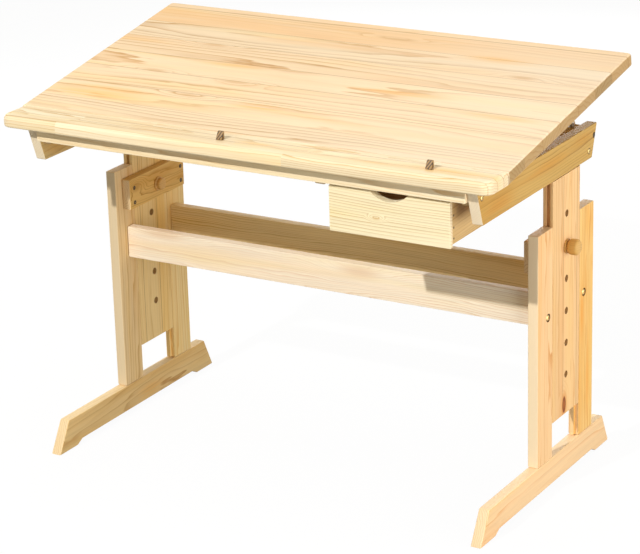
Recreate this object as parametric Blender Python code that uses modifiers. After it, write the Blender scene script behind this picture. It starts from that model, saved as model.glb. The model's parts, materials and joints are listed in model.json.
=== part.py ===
"""Height-adjustable pine desk: two T-shaped legs with sliding boards, a tilting top and one hung drawer.

Metres, +Z up, front towards -Y. The origin is on the floor under the middle of the desk.
"""
import math

import bmesh
import bpy
from mathutils import Matrix, Vector

# Clearances
GAP = 0.0003
SLIDE_GAP = 0.0004

# Table top
TOP_WIDTH = 1.090
TOP_HEIGHT = 0.744
TOP_THICKNESS = 0.026
PANEL_DEPTH = 0.562
STRIP_DEPTH = 0.0765
STRIP_ROUNDING = 0.012
STRIP_LOWER_ROUNDING = 0.004
PANEL_ROUNDING = 0.005
STRIP_CORNER = 0.022
PANEL_CORNER = 0.010

# Tilt hinge along the seam between front strip and panel
TILT_REST = math.radians(9.5)
SEAM_GAP = 0.0024
SEAM_CHAMFER = 0.0025
HINGE_DEPTH = 0.006
HINGE_INSET = 0.215
HINGE_LENGTH = 0.060
HINGE_SEGMENT_GAP = 0.0004
KNUCKLE_RADIUS = 0.0028
HINGE_PIN_RADIUS = 0.0012
LEAF_THICKNESS = 0.0012
LEAF_OFFSET = 0.0015
LEAF_MARGIN = 0.002
POCKET_CLEARANCE = 0.0006

# Legs
TOP_OVERHANG = 0.042
BOARD_THICKNESS = 0.023
LEG_SETBACK = 0.341
LEG_WIDTH = 0.256
UPRIGHT_WIDTH = 0.066
UPRIGHT_TOP = 0.550
TONGUE_DEPTH = 0.008
TONGUE_THICKNESS = 0.008
TONGUE_STOP = 0.003
TENON_DEPTH = 0.040
TENON_THICKNESS = 0.010
TENON_SHOULDER = 0.009
BOARD_ROUNDING = 0.0025

# Feet
FOOT_HEIGHT = 0.066
FOOT_FRONT = 0.379
FOOT_REAR = 0.212
FOOT_FRONT_SLOPE = 0.038
FOOT_REAR_SLOPE = 0.031
FOOT_PAD = 0.064
FOOT_ARCH = 0.009
FOOT_ARCH_RAMP = 0.018

# Stretchers and their bolts
STRETCHER_INSET = 0.045
STRETCHER_BOTTOM = 0.352
STRETCHER_HEIGHT = 0.0687
STRETCHER_THICKNESS = 0.022
BOLT_RISE = 0.018
BOLT_SEAT_RADIUS = 0.0085
BOLT_SEAT_DEPTH = 0.006
BOLT_HEAD_RADIUS = 0.006
BOLT_HEAD_DEPTH = 0.0035
BOLT_SHANK_RADIUS = 0.003
BOLT_LENGTH = 0.065
BARREL_NUT_RADIUS = 0.005
BARREL_NUT_LENGTH = 0.018
BARREL_NUT_INSET = 0.032
BARREL_NUT_SKIN = 0.002

# Sliding boards with their row of holes
LOCK_DROP = 0.057
HOLE_PITCH = 0.0675
HOLE_RADIUS = 0.0072
HOLES_ABOVE = 1
HOLES_BELOW = 4
SLIDER_TAIL = 0.085
LAP_DEPTH = 0.0115
LAP_TOP_MARGIN = 0.002

# Cleats and height locks
CLEAT_FRONT_INSET = 0.0235
CLEAT_REAR_INSET = 0.026
CLEAT_THICKNESS = 0.020
CLEAT_HEIGHT = 0.0666
CLEAT_DROP = 0.031
LOCK_NUT_RADIUS = 0.015
LOCK_NUT_THICKNESS = 0.014
LOCK_NUT_RIM = 0.0028
LOCK_NUT_SPIGOT = 0.010
STUD_RADIUS = 0.0068
STUD_IN_KNOB = 0.014
KNOB_RADIUS = 0.016
KNOB_LENGTH = 0.028
KNOB_RING_RADIUS = 0.0145
KNOB_RING_WIDTH = 0.003
KNOB_NECK_RADIUS = 0.0105
KNOB_NECK_WIDTH = 0.002
KNOB_SHOULDER_TURN = 45.0

# Rails under the top
RAIL_DROP = 0.0092
RAIL_HEIGHT = 0.0675
RAIL_FRONT = 0.043
RAIL_REAR = 0.481
RAIL_END_SLOPE = 0.023
APRON_OVERHANG = 0.046
APRON_THICKNESS = 0.022
APRON_HEIGHT = 0.0303
REAR_RAIL_INSET = 0.0005
REAR_RAIL_THICKNESS = 0.018
REAR_RAIL_HEIGHT = 0.032

# Notched racks inside the side rails
RACK_THICKNESS = 0.018
RACK_TAIL = 0.009
RACK_BLOCK = 0.050
NOTCH_RADIUS = 0.006
NOTCH_DEPTH = 0.0045
NOTCH_PITCH = 0.018
NOTCHES_AHEAD = 3
NOTCHES_BEHIND = 1

# Prop under the panel
PROP_PIVOT = 0.220
PROP_LENGTH = 0.220
PROP_PIVOT_DROP = 0.009
PROP_ARM_HEIGHT = 0.016
PROP_ARM_THICKNESS = 0.014
PROP_PIN_RADIUS = 0.003
PROP_PIN_PROUD = 0.004
PROP_PIN_SEAT = 0.014
PROP_BAR_RADIUS = 0.005
PROP_BAR_LAP = 0.009
PROP_BAR_CLEARANCE = 0.0005

# Battens under the panel
BATTEN_SETBACK = 0.110
BATTEN_THICKNESS = 0.020
BATTEN_HEIGHT = 0.020
BATTEN_START = 0.060
BATTEN_BAR_GAP = 0.035

# Stops on the front strip
STOP_END_GAP = 0.139
STOP_PITCH = 0.451
STOP_WIDTH = 0.013
STOP_DEPTH = 0.012
STOP_HEIGHT = 0.016
STOP_TOE = 0.002
STOP_CREST = 0.004
STOP_SETBACK = 0.029
STOP_ROUNDING = 0.0012

# Drawer
DRAWER_RAIL_GAP = 0.0375
DRAWER_WIDTH = 0.2563
DRAWER_HEIGHT = 0.090
DRAWER_DEPTH = 0.375
DRAWER_REVEAL = 0.0052
DRAWER_SETBACK = 0.012
DRAWER_SIDE_RISE = 0.006
DRAWER_FRONT_THICKNESS = 0.018
DRAWER_SIDE_THICKNESS = 0.012
DRAWER_BACK_THICKNESS = 0.012
DRAWER_REBATE = 0.009
DRAWER_BOTTOM_THICKNESS = 0.004
DRAWER_BOTTOM_RISE = 0.012
DRAWER_GROOVE = 0.005
FINGER_CUT_WIDTH = 0.080
FINGER_CUT_DEPTH = 0.017
DRAWER_ROUNDING = 0.0015

# Drawer runners
RUNNER_LIP = 0.0053
RUNNER_THICKNESS = 0.0084
RUNNER_SETBACK = 0.050
RUNNER_TONGUE = 0.0057
RUNNER_SLOT = 0.006
HANGER_SIDE_GAP = 0.014
HANGER_THICKNESS = 0.022
HANGER_HEIGHT = 0.023

# Facets
ROUND_FACETS = 24
SMALL_FACETS = 16
EDGE_FACETS = 2
TOP_EDGE_FACETS = 4
CORNER_FACETS = 5
FINGER_CUT_FACETS = 96
SHOULDER_FACETS = 2
CROWN_FACETS = 4
SHARP_ANGLE = math.radians(40)
FLAT_ANGLE = math.radians(0.5)
MERGE_DISTANCE = 0.00001

# Places that follow from the sizes
AXIS_Z = TOP_HEIGHT - HINGE_DEPTH
UNDERSIDE = TOP_HEIGHT - TOP_THICKNESS
PANEL_LOW = HINGE_DEPTH - TOP_THICKNESS
STRIP_REACH = SEAM_GAP / 2 + STRIP_DEPTH
PANEL_REACH = (
    (PANEL_DEPTH - PANEL_ROUNDING) * math.cos(TILT_REST)
    - (PANEL_LOW + PANEL_ROUNDING) * math.sin(TILT_REST)
    + PANEL_ROUNDING
)
AXIS_Y = (STRIP_REACH - PANEL_REACH) / 2
STRIP_REAR = AXIS_Y - SEAM_GAP / 2
STRIP_FRONT = STRIP_REAR - STRIP_DEPTH
HINGE_X = TOP_WIDTH / 2 - HINGE_INSET

LEG_Y = AXIS_Y + LEG_SETBACK
LEG_OUTER_X = TOP_WIDTH / 2 - TOP_OVERHANG
LEG_INNER_X = LEG_OUTER_X - BOARD_THICKNESS
LEG_MIDDLE_X = (LEG_OUTER_X + LEG_INNER_X) / 2
LOCK_HEIGHT = UPRIGHT_TOP - LOCK_DROP
UPRIGHT_OFFSET = (LEG_WIDTH - UPRIGHT_WIDTH) / 2
SLIDER_HALF_WIDTH = LEG_WIDTH / 2 - UPRIGHT_WIDTH - SLIDE_GAP
SLIDER_BOTTOM = LOCK_HEIGHT - HOLES_BELOW * HOLE_PITCH - SLIDER_TAIL
STRETCHER_OFFSET = LEG_WIDTH / 2 - STRETCHER_INSET
BOLT_Z = STRETCHER_BOTTOM + BOLT_RISE

RAIL_TOP = UNDERSIDE - RAIL_DROP
RAIL_BOTTOM = RAIL_TOP - RAIL_HEIGHT
STOP_RIGHT_X = TOP_WIDTH / 2 - STOP_END_GAP
STOP_LEFT_X = STOP_RIGHT_X - STOP_PITCH
APRON_FRONT = AXIS_Y - APRON_OVERHANG
APRON_REAR = APRON_FRONT + APRON_THICKNESS
APRON_BOTTOM = UNDERSIDE - GAP - APRON_HEIGHT

DRAWER_TOP = APRON_BOTTOM - DRAWER_REVEAL
DRAWER_LOW = DRAWER_TOP - DRAWER_HEIGHT
DRAWER_RIGHT = LEG_INNER_X - DRAWER_RAIL_GAP
DRAWER_LEFT = DRAWER_RIGHT - DRAWER_WIDTH
DRAWER_X = (DRAWER_LEFT + DRAWER_RIGHT) / 2
DRAWER_FRONT = APRON_FRONT + DRAWER_SETBACK
DRAWER_REAR = DRAWER_FRONT + DRAWER_DEPTH
RUNNER_TOP = DRAWER_TOP - RUNNER_LIP
RUNNER_LOW = RUNNER_TOP - RUNNER_THICKNESS
RUNNER_FRONT = DRAWER_FRONT + RUNNER_SETBACK
RACK_LOW = RUNNER_TOP + GAP
RACK_INNER_X = LEG_INNER_X - GAP - RACK_THICKNESS
HANGER_RIGHT = DRAWER_LEFT - HANGER_SIDE_GAP
HANGER_LEFT = HANGER_RIGHT - HANGER_THICKNESS
REAR_RAIL_SLOPE = RAIL_END_SLOPE * REAR_RAIL_HEIGHT / RAIL_HEIGHT
REAR_RAIL_REAR = AXIS_Y + RAIL_REAR - REAR_RAIL_SLOPE - REAR_RAIL_INSET
REAR_RAIL_FRONT = REAR_RAIL_REAR - REAR_RAIL_THICKNESS

BATTEN_X = LEG_INNER_X - BATTEN_SETBACK
BATTEN_END = PROP_PIVOT + PROP_LENGTH - PROP_BAR_RADIUS - BATTEN_BAR_GAP
PROP_PIVOT_Z = PANEL_LOW - PROP_PIVOT_DROP
PROP_FALL = (
    PROP_PIVOT * math.sin(TILT_REST)
    + PROP_PIVOT_Z * math.cos(TILT_REST)
    - PROP_PIVOT_Z
)
PROP_LEAN = math.asin(PROP_FALL / PROP_LENGTH)
PROP_BAR_Z = AXIS_Z + PROP_PIVOT_Z
PROP_BAR_Y = (
    AXIS_Y
    + PROP_PIVOT * math.cos(TILT_REST)
    - PROP_PIVOT_Z * math.sin(TILT_REST)
    + PROP_LENGTH * math.cos(PROP_LEAN)
)
RACK_TOOTH_TOP = PROP_BAR_Z - PROP_BAR_RADIUS - PROP_BAR_CLEARANCE
RACK_REAR = PROP_BAR_Y + NOTCHES_BEHIND * NOTCH_PITCH + RACK_TAIL

# Colours as (red, green, blue), roughness, metallic
PINE = ((0.86, 0.66, 0.38), 0.5, 0.0)
PINE_PALE = ((0.90, 0.74, 0.47), 0.5, 0.0)
PINE_GOLD = ((0.74, 0.48, 0.20), 0.5, 0.0)
PLYWOOD = ((0.78, 0.62, 0.40), 0.6, 0.0)
DARK_WOOD = ((0.10, 0.05, 0.02), 0.5, 0.0)
BRASS = ((0.72, 0.52, 0.22), 0.35, 1.0)
STEEL = ((0.42, 0.41, 0.40), 0.35, 1.0)

# Turns a flat outline in X and Y into one in Y and Z with its thickness along X
SIDE_ON = Matrix.Rotation(math.pi / 2, 4, "Z") @ Matrix.Rotation(math.pi / 2, 4, "X")
ALONG = {
    "X": Matrix.Rotation(math.pi / 2, 4, "Y"),
    "Y": Matrix.Rotation(-math.pi / 2, 4, "X"),
    "Z": Matrix.Identity(4),
}

SIDES = (("left", -1), ("right", 1))

for old in list(bpy.data.objects):
    bpy.data.objects.remove(old)

parts = bpy.data.collections.new("adjustable_desk")
cutters = bpy.data.collections.new("cutters")
bpy.context.scene.collection.children.link(parts)
bpy.context.scene.collection.children.link(cutters)


# Shared making of shapes


def material(name, finish):
    """A plain material with the colour, roughness and metallic value of one piece."""
    colour, roughness, metallic = finish
    made = bpy.data.materials.new(name)
    made.use_nodes = True
    shader = made.node_tree.nodes["Principled BSDF"]
    shader.inputs["Base Color"].default_value = (*colour, 1.0)
    shader.inputs["Roughness"].default_value = roughness
    shader.inputs["Metallic"].default_value = metallic
    return made


def add_piece(name, mesh, location, finish, parent):
    """One named sub-part in the desk's collection."""
    piece = bpy.data.objects.new(name, mesh)
    piece.location = location
    piece.parent = parent
    mesh.materials.append(material(name, finish))
    parts.objects.link(piece)
    return piece


def add_tool(name, mesh, location, parent):
    """A hidden shape that cuts or joins a piece."""
    tool = bpy.data.objects.new(name, mesh)
    tool.location = location
    tool.parent = parent
    tool.hide_render = True
    tool.display_type = "WIRE"
    cutters.objects.link(tool)
    return tool


def add_axis(name, location, parent=None, turn=0.0):
    """An empty that carries a group of moving pieces, turned about X."""
    empty = bpy.data.objects.new(name, None)
    empty.location = location
    empty.rotation_euler = (turn, 0.0, 0.0)
    empty.parent = parent
    parts.objects.link(empty)
    return empty


def box_mesh(name, size):
    """A box about its own middle."""
    shape = bmesh.new()
    bmesh.ops.create_cube(shape, size=1.0, matrix=Matrix.Diagonal((*size, 1.0)))
    mesh = bpy.data.meshes.new(name)
    shape.to_mesh(mesh)
    shape.free()
    return mesh


def rod_mesh(name, radius, length, axis, facets):
    """A cylinder about its own middle."""
    shape = bmesh.new()
    bmesh.ops.create_cone(
        shape,
        cap_ends=True,
        segments=facets,
        radius1=radius,
        radius2=radius,
        depth=length,
        matrix=ALONG[axis],
    )
    mesh = bpy.data.meshes.new(name)
    shape.to_mesh(mesh)
    shape.free()
    mesh.shade_smooth()
    mesh.set_sharp_from_angle(angle=SHARP_ANGLE)
    return mesh


def outline_mesh(name, points, thickness, turn):
    """A flat closed outline of the given thickness."""
    curve = bpy.data.curves.new(name, "CURVE")
    curve.dimensions = "2D"
    curve.fill_mode = "BOTH"
    curve.extrude = thickness / 2
    spline = curve.splines.new("POLY")
    spline.points.add(len(points) - 1)
    spline.use_cyclic_u = True
    for place, (across, up) in zip(spline.points, points):
        place.co = (across, up, 0.0, 1.0)
    guide = bpy.data.objects.new(name, curve)
    cutters.objects.link(guide)
    evaluated = guide.evaluated_get(bpy.context.evaluated_depsgraph_get())
    mesh = bpy.data.meshes.new_from_object(evaluated)
    bpy.data.objects.remove(guide)
    shape = bmesh.new()
    shape.from_mesh(mesh)
    bmesh.ops.remove_doubles(shape, verts=shape.verts, dist=MERGE_DISTANCE)
    bmesh.ops.dissolve_limit(shape, angle_limit=FLAT_ANGLE, verts=shape.verts, edges=shape.edges)
    bmesh.ops.recalc_face_normals(shape, faces=shape.faces)
    bmesh.ops.transform(shape, matrix=turn, verts=shape.verts)
    shape.to_mesh(mesh)
    shape.free()
    return mesh


def arc(middle, radius, start, end, facets):
    """Points along a circle, with the angles in degrees."""
    steps = [math.radians(start + (end - start) * k / facets) for k in range(facets + 1)]
    return [(middle[0] + radius * math.cos(a), middle[1] + radius * math.sin(a)) for a in steps]


def middle_of(low, high):
    """Centre and size of the box between two corners."""
    low, high = Vector(low), Vector(high)
    return (low + high) / 2, high - low


def ease_edges(piece, width, facets=EDGE_FACETS):
    """Rounded edges all over a piece."""
    bevel = piece.modifiers.new("eased edges", "BEVEL")
    bevel.width = width
    bevel.segments = facets
    bevel.limit_method = "ANGLE"
    bevel.angle_limit = SHARP_ANGLE


def board(name, low, high, finish, parent=None, rounding=BOARD_ROUNDING):
    """A sawn board between two corners, with eased edges."""
    middle, size = middle_of(low, high)
    piece = add_piece(name, box_mesh(name, size), middle, finish, parent)
    ease_edges(piece, rounding)
    return piece


def rod(name, middle, radius, length, axis, finish, parent=None, facets=ROUND_FACETS):
    """A plain round rod."""
    return add_piece(name, rod_mesh(name, radius, length, axis, facets), middle, finish, parent)


def turned(name, profile, place, side, finish, parent=None):
    """A turned piece whose profile of (radius, distance) runs outwards from place along X."""
    mesh = bpy.data.meshes.new(name)
    points = [(radius, 0.0, distance) for radius, distance in reversed(profile)]
    mesh.from_pydata(points, [(k, k + 1) for k in range(len(points) - 1)], [])
    piece = add_piece(name, mesh, place, finish, parent)
    piece.rotation_euler = (0.0, side * math.pi / 2, 0.0)
    spin = piece.modifiers.new("turned", "SCREW")
    spin.steps = ROUND_FACETS
    spin.render_steps = ROUND_FACETS
    spin.use_merge_vertices = True
    spin.merge_threshold = MERGE_DISTANCE
    spin.use_smooth_shade = True
    return piece


def combine(piece, tool, operation):
    """Cuts the tool out of the piece, or joins it on."""
    change = piece.modifiers.new(tool.name, "BOOLEAN")
    change.operation = operation
    change.solver = "EXACT"
    change.object = tool


def cut_box(piece, low, high):
    """A square recess between two corners."""
    middle, size = middle_of(low, high)
    tool = add_tool(piece.name + "_recess", box_mesh("recess", size), middle, piece.parent)
    combine(piece, tool, "DIFFERENCE")
    return tool


def join_box(piece, low, high):
    """A square tongue or tenon between two corners."""
    middle, size = middle_of(low, high)
    tool = add_tool(piece.name + "_tongue", box_mesh("tongue", size), middle, piece.parent)
    combine(piece, tool, "UNION")


def cut_rod(piece, middle, radius, length, axis, facets=ROUND_FACETS):
    """A round hole."""
    mesh = rod_mesh("bore", radius, length, axis, facets)
    tool = add_tool(piece.name + "_bore", mesh, middle, piece.parent)
    combine(piece, tool, "DIFFERENCE")


def join_rod(piece, middle, radius, length, axis, facets=ROUND_FACETS):
    """A round barrel."""
    mesh = rod_mesh("barrel", radius, length, axis, facets)
    tool = add_tool(piece.name + "_barrel", mesh, middle, piece.parent)
    combine(piece, tool, "UNION")


def span(side, inner, outer):
    """Lowest and highest X of something that lies between two distances from the middle, on one side."""
    return min(side * inner, side * outer), max(side * inner, side * outer)


def round_top_edges(piece, plain_y, upper, lower):
    """The upper and lower rounding of a table board, on every edge but the ones at the seam."""
    mesh = piece.data
    heights = [vertex.co.z for vertex in mesh.vertices]
    middle = (min(heights) + max(heights)) / 2
    weights = mesh.attributes.new("bevel_weight_edge", "FLOAT", "EDGE")
    for edge in mesh.edges:
        ends = [mesh.vertices[k].co for k in edge.vertices]
        level = abs(ends[0].z - ends[1].z) < GAP
        seam = all(abs(end.y - plain_y) < GAP for end in ends)
        share = 1.0 if ends[0].z > middle else lower / upper
        weights.data[edge.index].value = share if level and not seam else 0.0
    bevel = piece.modifiers.new("rounded edge", "BEVEL")
    bevel.width = upper
    bevel.segments = TOP_EDGE_FACETS
    bevel.limit_method = "WEIGHT"
    mesh.shade_smooth()
    mesh.set_sharp_from_angle(angle=SHARP_ANGLE)


# The standing base: feet, uprights, cleats and stretchers


def make_foot(label, side):
    """A long foot on two pads, with sloped ends and two mortises."""
    front = LEG_Y - FOOT_FRONT
    rear = LEG_Y + FOOT_REAR
    points = [
        (front, 0.0),
        (front + FOOT_PAD, 0.0),
        (front + FOOT_PAD + FOOT_ARCH_RAMP, FOOT_ARCH),
        (rear - FOOT_PAD - FOOT_ARCH_RAMP, FOOT_ARCH),
        (rear - FOOT_PAD, 0.0),
        (rear, 0.0),
        (rear - FOOT_REAR_SLOPE, FOOT_HEIGHT),
        (front + FOOT_FRONT_SLOPE, FOOT_HEIGHT),
    ]
    name = "foot_" + label
    mesh = outline_mesh(name, points, BOARD_THICKNESS, SIDE_ON)
    foot = add_piece(name, mesh, (side * LEG_MIDDLE_X, 0.0, 0.0), PINE, None)
    ease_edges(foot, BOARD_ROUNDING)
    half = TENON_THICKNESS / 2 + GAP
    for end in (-1, 1):
        middle_y = LEG_Y + end * UPRIGHT_OFFSET
        reach = UPRIGHT_WIDTH / 2 - TENON_SHOULDER + GAP
        cut_box(
            foot,
            (side * LEG_MIDDLE_X - half, middle_y - reach, FOOT_HEIGHT - TENON_DEPTH - GAP),
            (side * LEG_MIDDLE_X + half, middle_y + reach, FOOT_HEIGHT + TENON_DEPTH),
        )


def make_upright(label, side, end):
    """A leg board with a tenon below and a tongue for the sliding board; end is -1 in front, 1 behind."""
    name = "upright_{}_{}".format(label, "front" if end < 0 else "rear")
    middle_y = LEG_Y + end * UPRIGHT_OFFSET
    low_x, high_x = span(side, LEG_INNER_X, LEG_OUTER_X)
    foot_top = FOOT_HEIGHT + GAP
    low = (low_x, middle_y - UPRIGHT_WIDTH / 2, foot_top)
    high = (high_x, middle_y + UPRIGHT_WIDTH / 2, UPRIGHT_TOP)
    upright = board(name, low, high, PINE)
    middle_x = side * LEG_MIDDLE_X
    reach = UPRIGHT_WIDTH / 2 - TENON_SHOULDER
    join_box(
        upright,
        (middle_x - TENON_THICKNESS / 2, middle_y - reach, FOOT_HEIGHT - TENON_DEPTH),
        (middle_x + TENON_THICKNESS / 2, middle_y + reach, foot_top + TENON_DEPTH),
    )
    edge_y = middle_y - end * UPRIGHT_WIDTH / 2
    tongue = sorted((edge_y - end * TONGUE_DEPTH, edge_y + end * TONGUE_DEPTH))
    join_box(
        upright,
        (middle_x - TONGUE_THICKNESS / 2, tongue[0], foot_top + TONGUE_STOP),
        (middle_x + TONGUE_THICKNESS / 2, tongue[1], UPRIGHT_TOP - TONGUE_STOP),
    )
    bolt_y = LEG_Y + end * STRETCHER_OFFSET
    bore = 4 * BOARD_THICKNESS
    cut_rod(upright, (middle_x, bolt_y, BOLT_Z), BOLT_SHANK_RADIUS + GAP, bore, "X", SMALL_FACETS)
    seat = (side * LEG_OUTER_X, bolt_y, BOLT_Z)
    cut_rod(upright, seat, BOLT_SEAT_RADIUS, 2 * (BOLT_SEAT_DEPTH + GAP), "X")


def make_cleat(label, side):
    """A short board across both uprights, bored for the height lock, and its round nut."""
    low_x, high_x = span(side, LEG_INNER_X - GAP - CLEAT_THICKNESS, LEG_INNER_X - GAP)
    low_z = LOCK_HEIGHT - CLEAT_DROP
    low = (low_x, LEG_Y - LEG_WIDTH / 2 + CLEAT_FRONT_INSET, low_z)
    high = (high_x, LEG_Y + LEG_WIDTH / 2 - CLEAT_REAR_INSET, low_z + CLEAT_HEIGHT)
    cleat = board("cleat_" + label, low, high, PINE)
    cut_rod(cleat, (side * LEG_INNER_X, LEG_Y, LOCK_HEIGHT), HOLE_RADIUS, 4 * CLEAT_THICKNESS, "X")
    face = LEG_INNER_X - 2 * GAP - CLEAT_THICKNESS
    spigot = HOLE_RADIUS - GAP
    profile = [
        (0.0, -LOCK_NUT_SPIGOT),
        (spigot, -LOCK_NUT_SPIGOT),
        (spigot, 0.0),
        (LOCK_NUT_RADIUS, 0.0),
        (LOCK_NUT_RADIUS, LOCK_NUT_THICKNESS - LOCK_NUT_RIM),
        (LOCK_NUT_RADIUS - LOCK_NUT_RIM, LOCK_NUT_THICKNESS),
        (0.0, LOCK_NUT_THICKNESS),
    ]
    turned("lock_nut_" + label, profile, (side * face, LEG_Y, LOCK_HEIGHT), -side, PINE)


def make_stretcher(label, end):
    """A long board between the legs, bored at both ends for a bolt and its barrel nut."""
    middle_y = LEG_Y + end * STRETCHER_OFFSET
    reach = LEG_INNER_X - GAP
    half = STRETCHER_THICKNESS / 2
    top = STRETCHER_BOTTOM + STRETCHER_HEIGHT
    low = (-reach, middle_y - half, STRETCHER_BOTTOM)
    stretcher = board("stretcher_" + label, low, (reach, middle_y + half, top), PINE_PALE)
    for side in (-1, 1):
        bore = 2 * (BOLT_LENGTH - BOARD_THICKNESS + BOLT_SEAT_DEPTH)
        cut_rod(stretcher, (side * reach, middle_y, BOLT_Z), BOLT_SHANK_RADIUS + GAP, bore, "X", SMALL_FACETS)
        nut_bore_y = middle_y - half + BARREL_NUT_SKIN + STRETCHER_THICKNESS / 2
        nut_x = side * (reach - BARREL_NUT_INSET)
        cut_rod(stretcher, (nut_x, nut_bore_y, BOLT_Z), BARREL_NUT_RADIUS + GAP, STRETCHER_THICKNESS, "Y")


def make_bolt(label, side, end):
    """A bolt with its head in a wide seat in the upright, and the barrel nut that it pulls on."""
    suffix = "{}_{}".format(label, "front" if end < 0 else "rear")
    bolt_y = LEG_Y + end * STRETCHER_OFFSET
    head_x = LEG_OUTER_X - BOLT_SEAT_DEPTH
    profile = [
        (0.0, -BOLT_LENGTH),
        (BOLT_SHANK_RADIUS, -BOLT_LENGTH),
        (BOLT_SHANK_RADIUS, 0.0),
        (BOLT_HEAD_RADIUS, 0.0),
        (BOLT_HEAD_RADIUS, BOLT_HEAD_DEPTH),
        (0.0, BOLT_HEAD_DEPTH),
    ]
    turned("stretcher_bolt_" + suffix, profile, (side * head_x, bolt_y, BOLT_Z), side, BRASS)
    nut_x = side * (LEG_INNER_X - GAP - BARREL_NUT_INSET)
    nut_y = bolt_y - STRETCHER_THICKNESS / 2 + BARREL_NUT_SKIN + GAP + BARREL_NUT_LENGTH / 2
    name = "barrel_nut_" + suffix
    nut = rod(name, (nut_x, nut_y, BOLT_Z), BARREL_NUT_RADIUS, BARREL_NUT_LENGTH, "Y", STEEL)
    cut_rod(nut, (nut_x, bolt_y, BOLT_Z), BOLT_SHANK_RADIUS + GAP, 4 * BARREL_NUT_RADIUS, "X", SMALL_FACETS)


# The frame that slides up and down in the legs


def make_slider(label, side, parent):
    """The sliding board of one leg: grooved edges, a row of holes and a half lap for the rail."""
    low_x, high_x = span(side, LEG_INNER_X, LEG_OUTER_X)
    top = RAIL_TOP - LAP_TOP_MARGIN
    low = (low_x, LEG_Y - SLIDER_HALF_WIDTH, SLIDER_BOTTOM)
    slider = board("slide_board_" + label, low, (high_x, LEG_Y + SLIDER_HALF_WIDTH, top), PINE, parent)
    lap_x = span(side, LEG_INNER_X + LAP_DEPTH, LEG_OUTER_X + BOARD_THICKNESS)
    lap_z = RAIL_BOTTOM - GAP
    lap_high = (lap_x[1], LEG_Y + LEG_WIDTH, top + BOARD_THICKNESS)
    cut_box(slider, (lap_x[0], LEG_Y - LEG_WIDTH, lap_z), lap_high)
    groove = TONGUE_THICKNESS / 2 + SLIDE_GAP
    middle_x = side * LEG_MIDDLE_X
    for end in (-1, 1):
        edge = end * SLIDER_HALF_WIDTH
        ends = sorted((LEG_Y + edge - end * (TONGUE_DEPTH + SLIDE_GAP), LEG_Y + edge + end * TONGUE_DEPTH))
        low_z = SLIDER_BOTTOM - BOARD_THICKNESS
        cut_box(slider, (middle_x - groove, ends[0], low_z), (middle_x + groove, ends[1], lap_z))
    for count in range(-HOLES_BELOW, HOLES_ABOVE + 1):
        hole_z = LOCK_HEIGHT + count * HOLE_PITCH
        cut_rod(slider, (middle_x, LEG_Y, hole_z), HOLE_RADIUS, 2 * BOARD_THICKNESS, "X")


def make_side_rail(label, side, parent):
    """The rail on top of a sliding board, with sloped ends and a half lap on its inner side."""
    front = AXIS_Y - RAIL_FRONT
    rear = AXIS_Y + RAIL_REAR
    points = [
        (front + RAIL_END_SLOPE, RAIL_BOTTOM),
        (rear - RAIL_END_SLOPE, RAIL_BOTTOM),
        (rear, RAIL_TOP),
        (front, RAIL_TOP),
    ]
    name = "side_rail_" + label
    mesh = outline_mesh(name, points, BOARD_THICKNESS, SIDE_ON)
    rail = add_piece(name, mesh, (side * LEG_MIDDLE_X, 0.0, 0.0), PINE_GOLD, parent)
    ease_edges(rail, BOARD_ROUNDING)
    lap_x = span(side, LEG_INNER_X - BOARD_THICKNESS, LEG_INNER_X + LAP_DEPTH + GAP)
    reach = SLIDER_HALF_WIDTH + GAP
    low_z = RAIL_BOTTOM - BOARD_THICKNESS
    high_z = RAIL_TOP - LAP_TOP_MARGIN + GAP
    cut_box(rail, (lap_x[0], LEG_Y - reach, low_z), (lap_x[1], LEG_Y + reach, high_z))


def make_rack(label, side, parent):
    """The notched strip inside a side rail; its front block carries the front strip of the top."""
    front = APRON_REAR + GAP
    block_end = AXIS_Y + RACK_BLOCK
    block_top = UNDERSIDE - GAP
    points = [(front, RACK_LOW), (RACK_REAR, RACK_LOW), (RACK_REAR, RACK_TOOTH_TOP)]
    rise = NOTCH_RADIUS - NOTCH_DEPTH
    sweep = math.degrees(math.asin(rise / NOTCH_RADIUS))
    for count in range(NOTCHES_BEHIND, -NOTCHES_AHEAD - 1, -1):
        middle = (PROP_BAR_Y + count * NOTCH_PITCH, RACK_TOOTH_TOP + rise)
        points += arc(middle, NOTCH_RADIUS, -sweep, sweep - 180.0, CORNER_FACETS)
    points += [(block_end, RACK_TOOTH_TOP), (block_end, block_top), (front, block_top)]
    name = "tilt_rack_" + label
    mesh = outline_mesh(name, points, RACK_THICKNESS, SIDE_ON)
    middle_x = RACK_INNER_X + RACK_THICKNESS / 2
    add_piece(name, mesh, (side * middle_x, 0.0, 0.0), PINE_GOLD, parent)


def make_cross_rails(parent):
    """The apron under the front strip, the rear rail between the racks and the hanger of the left runner."""
    reach = LEG_INNER_X - GAP
    apron_low = (-reach, APRON_FRONT, APRON_BOTTOM)
    board("front_apron", apron_low, (reach, APRON_REAR, UNDERSIDE - GAP), PINE_PALE, parent)
    rear_reach = RACK_INNER_X - GAP
    rear_low = (-rear_reach, REAR_RAIL_FRONT, RAIL_TOP - REAR_RAIL_HEIGHT)
    board("rear_rail", rear_low, (rear_reach, REAR_RAIL_REAR, RAIL_TOP), PINE, parent)
    hanger_low = (HANGER_LEFT, APRON_REAR + GAP, RACK_LOW)
    hanger_high = (HANGER_RIGHT, REAR_RAIL_FRONT - GAP, RACK_LOW + HANGER_HEIGHT)
    board("drawer_hanger", hanger_low, hanger_high, PINE, parent)


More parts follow.
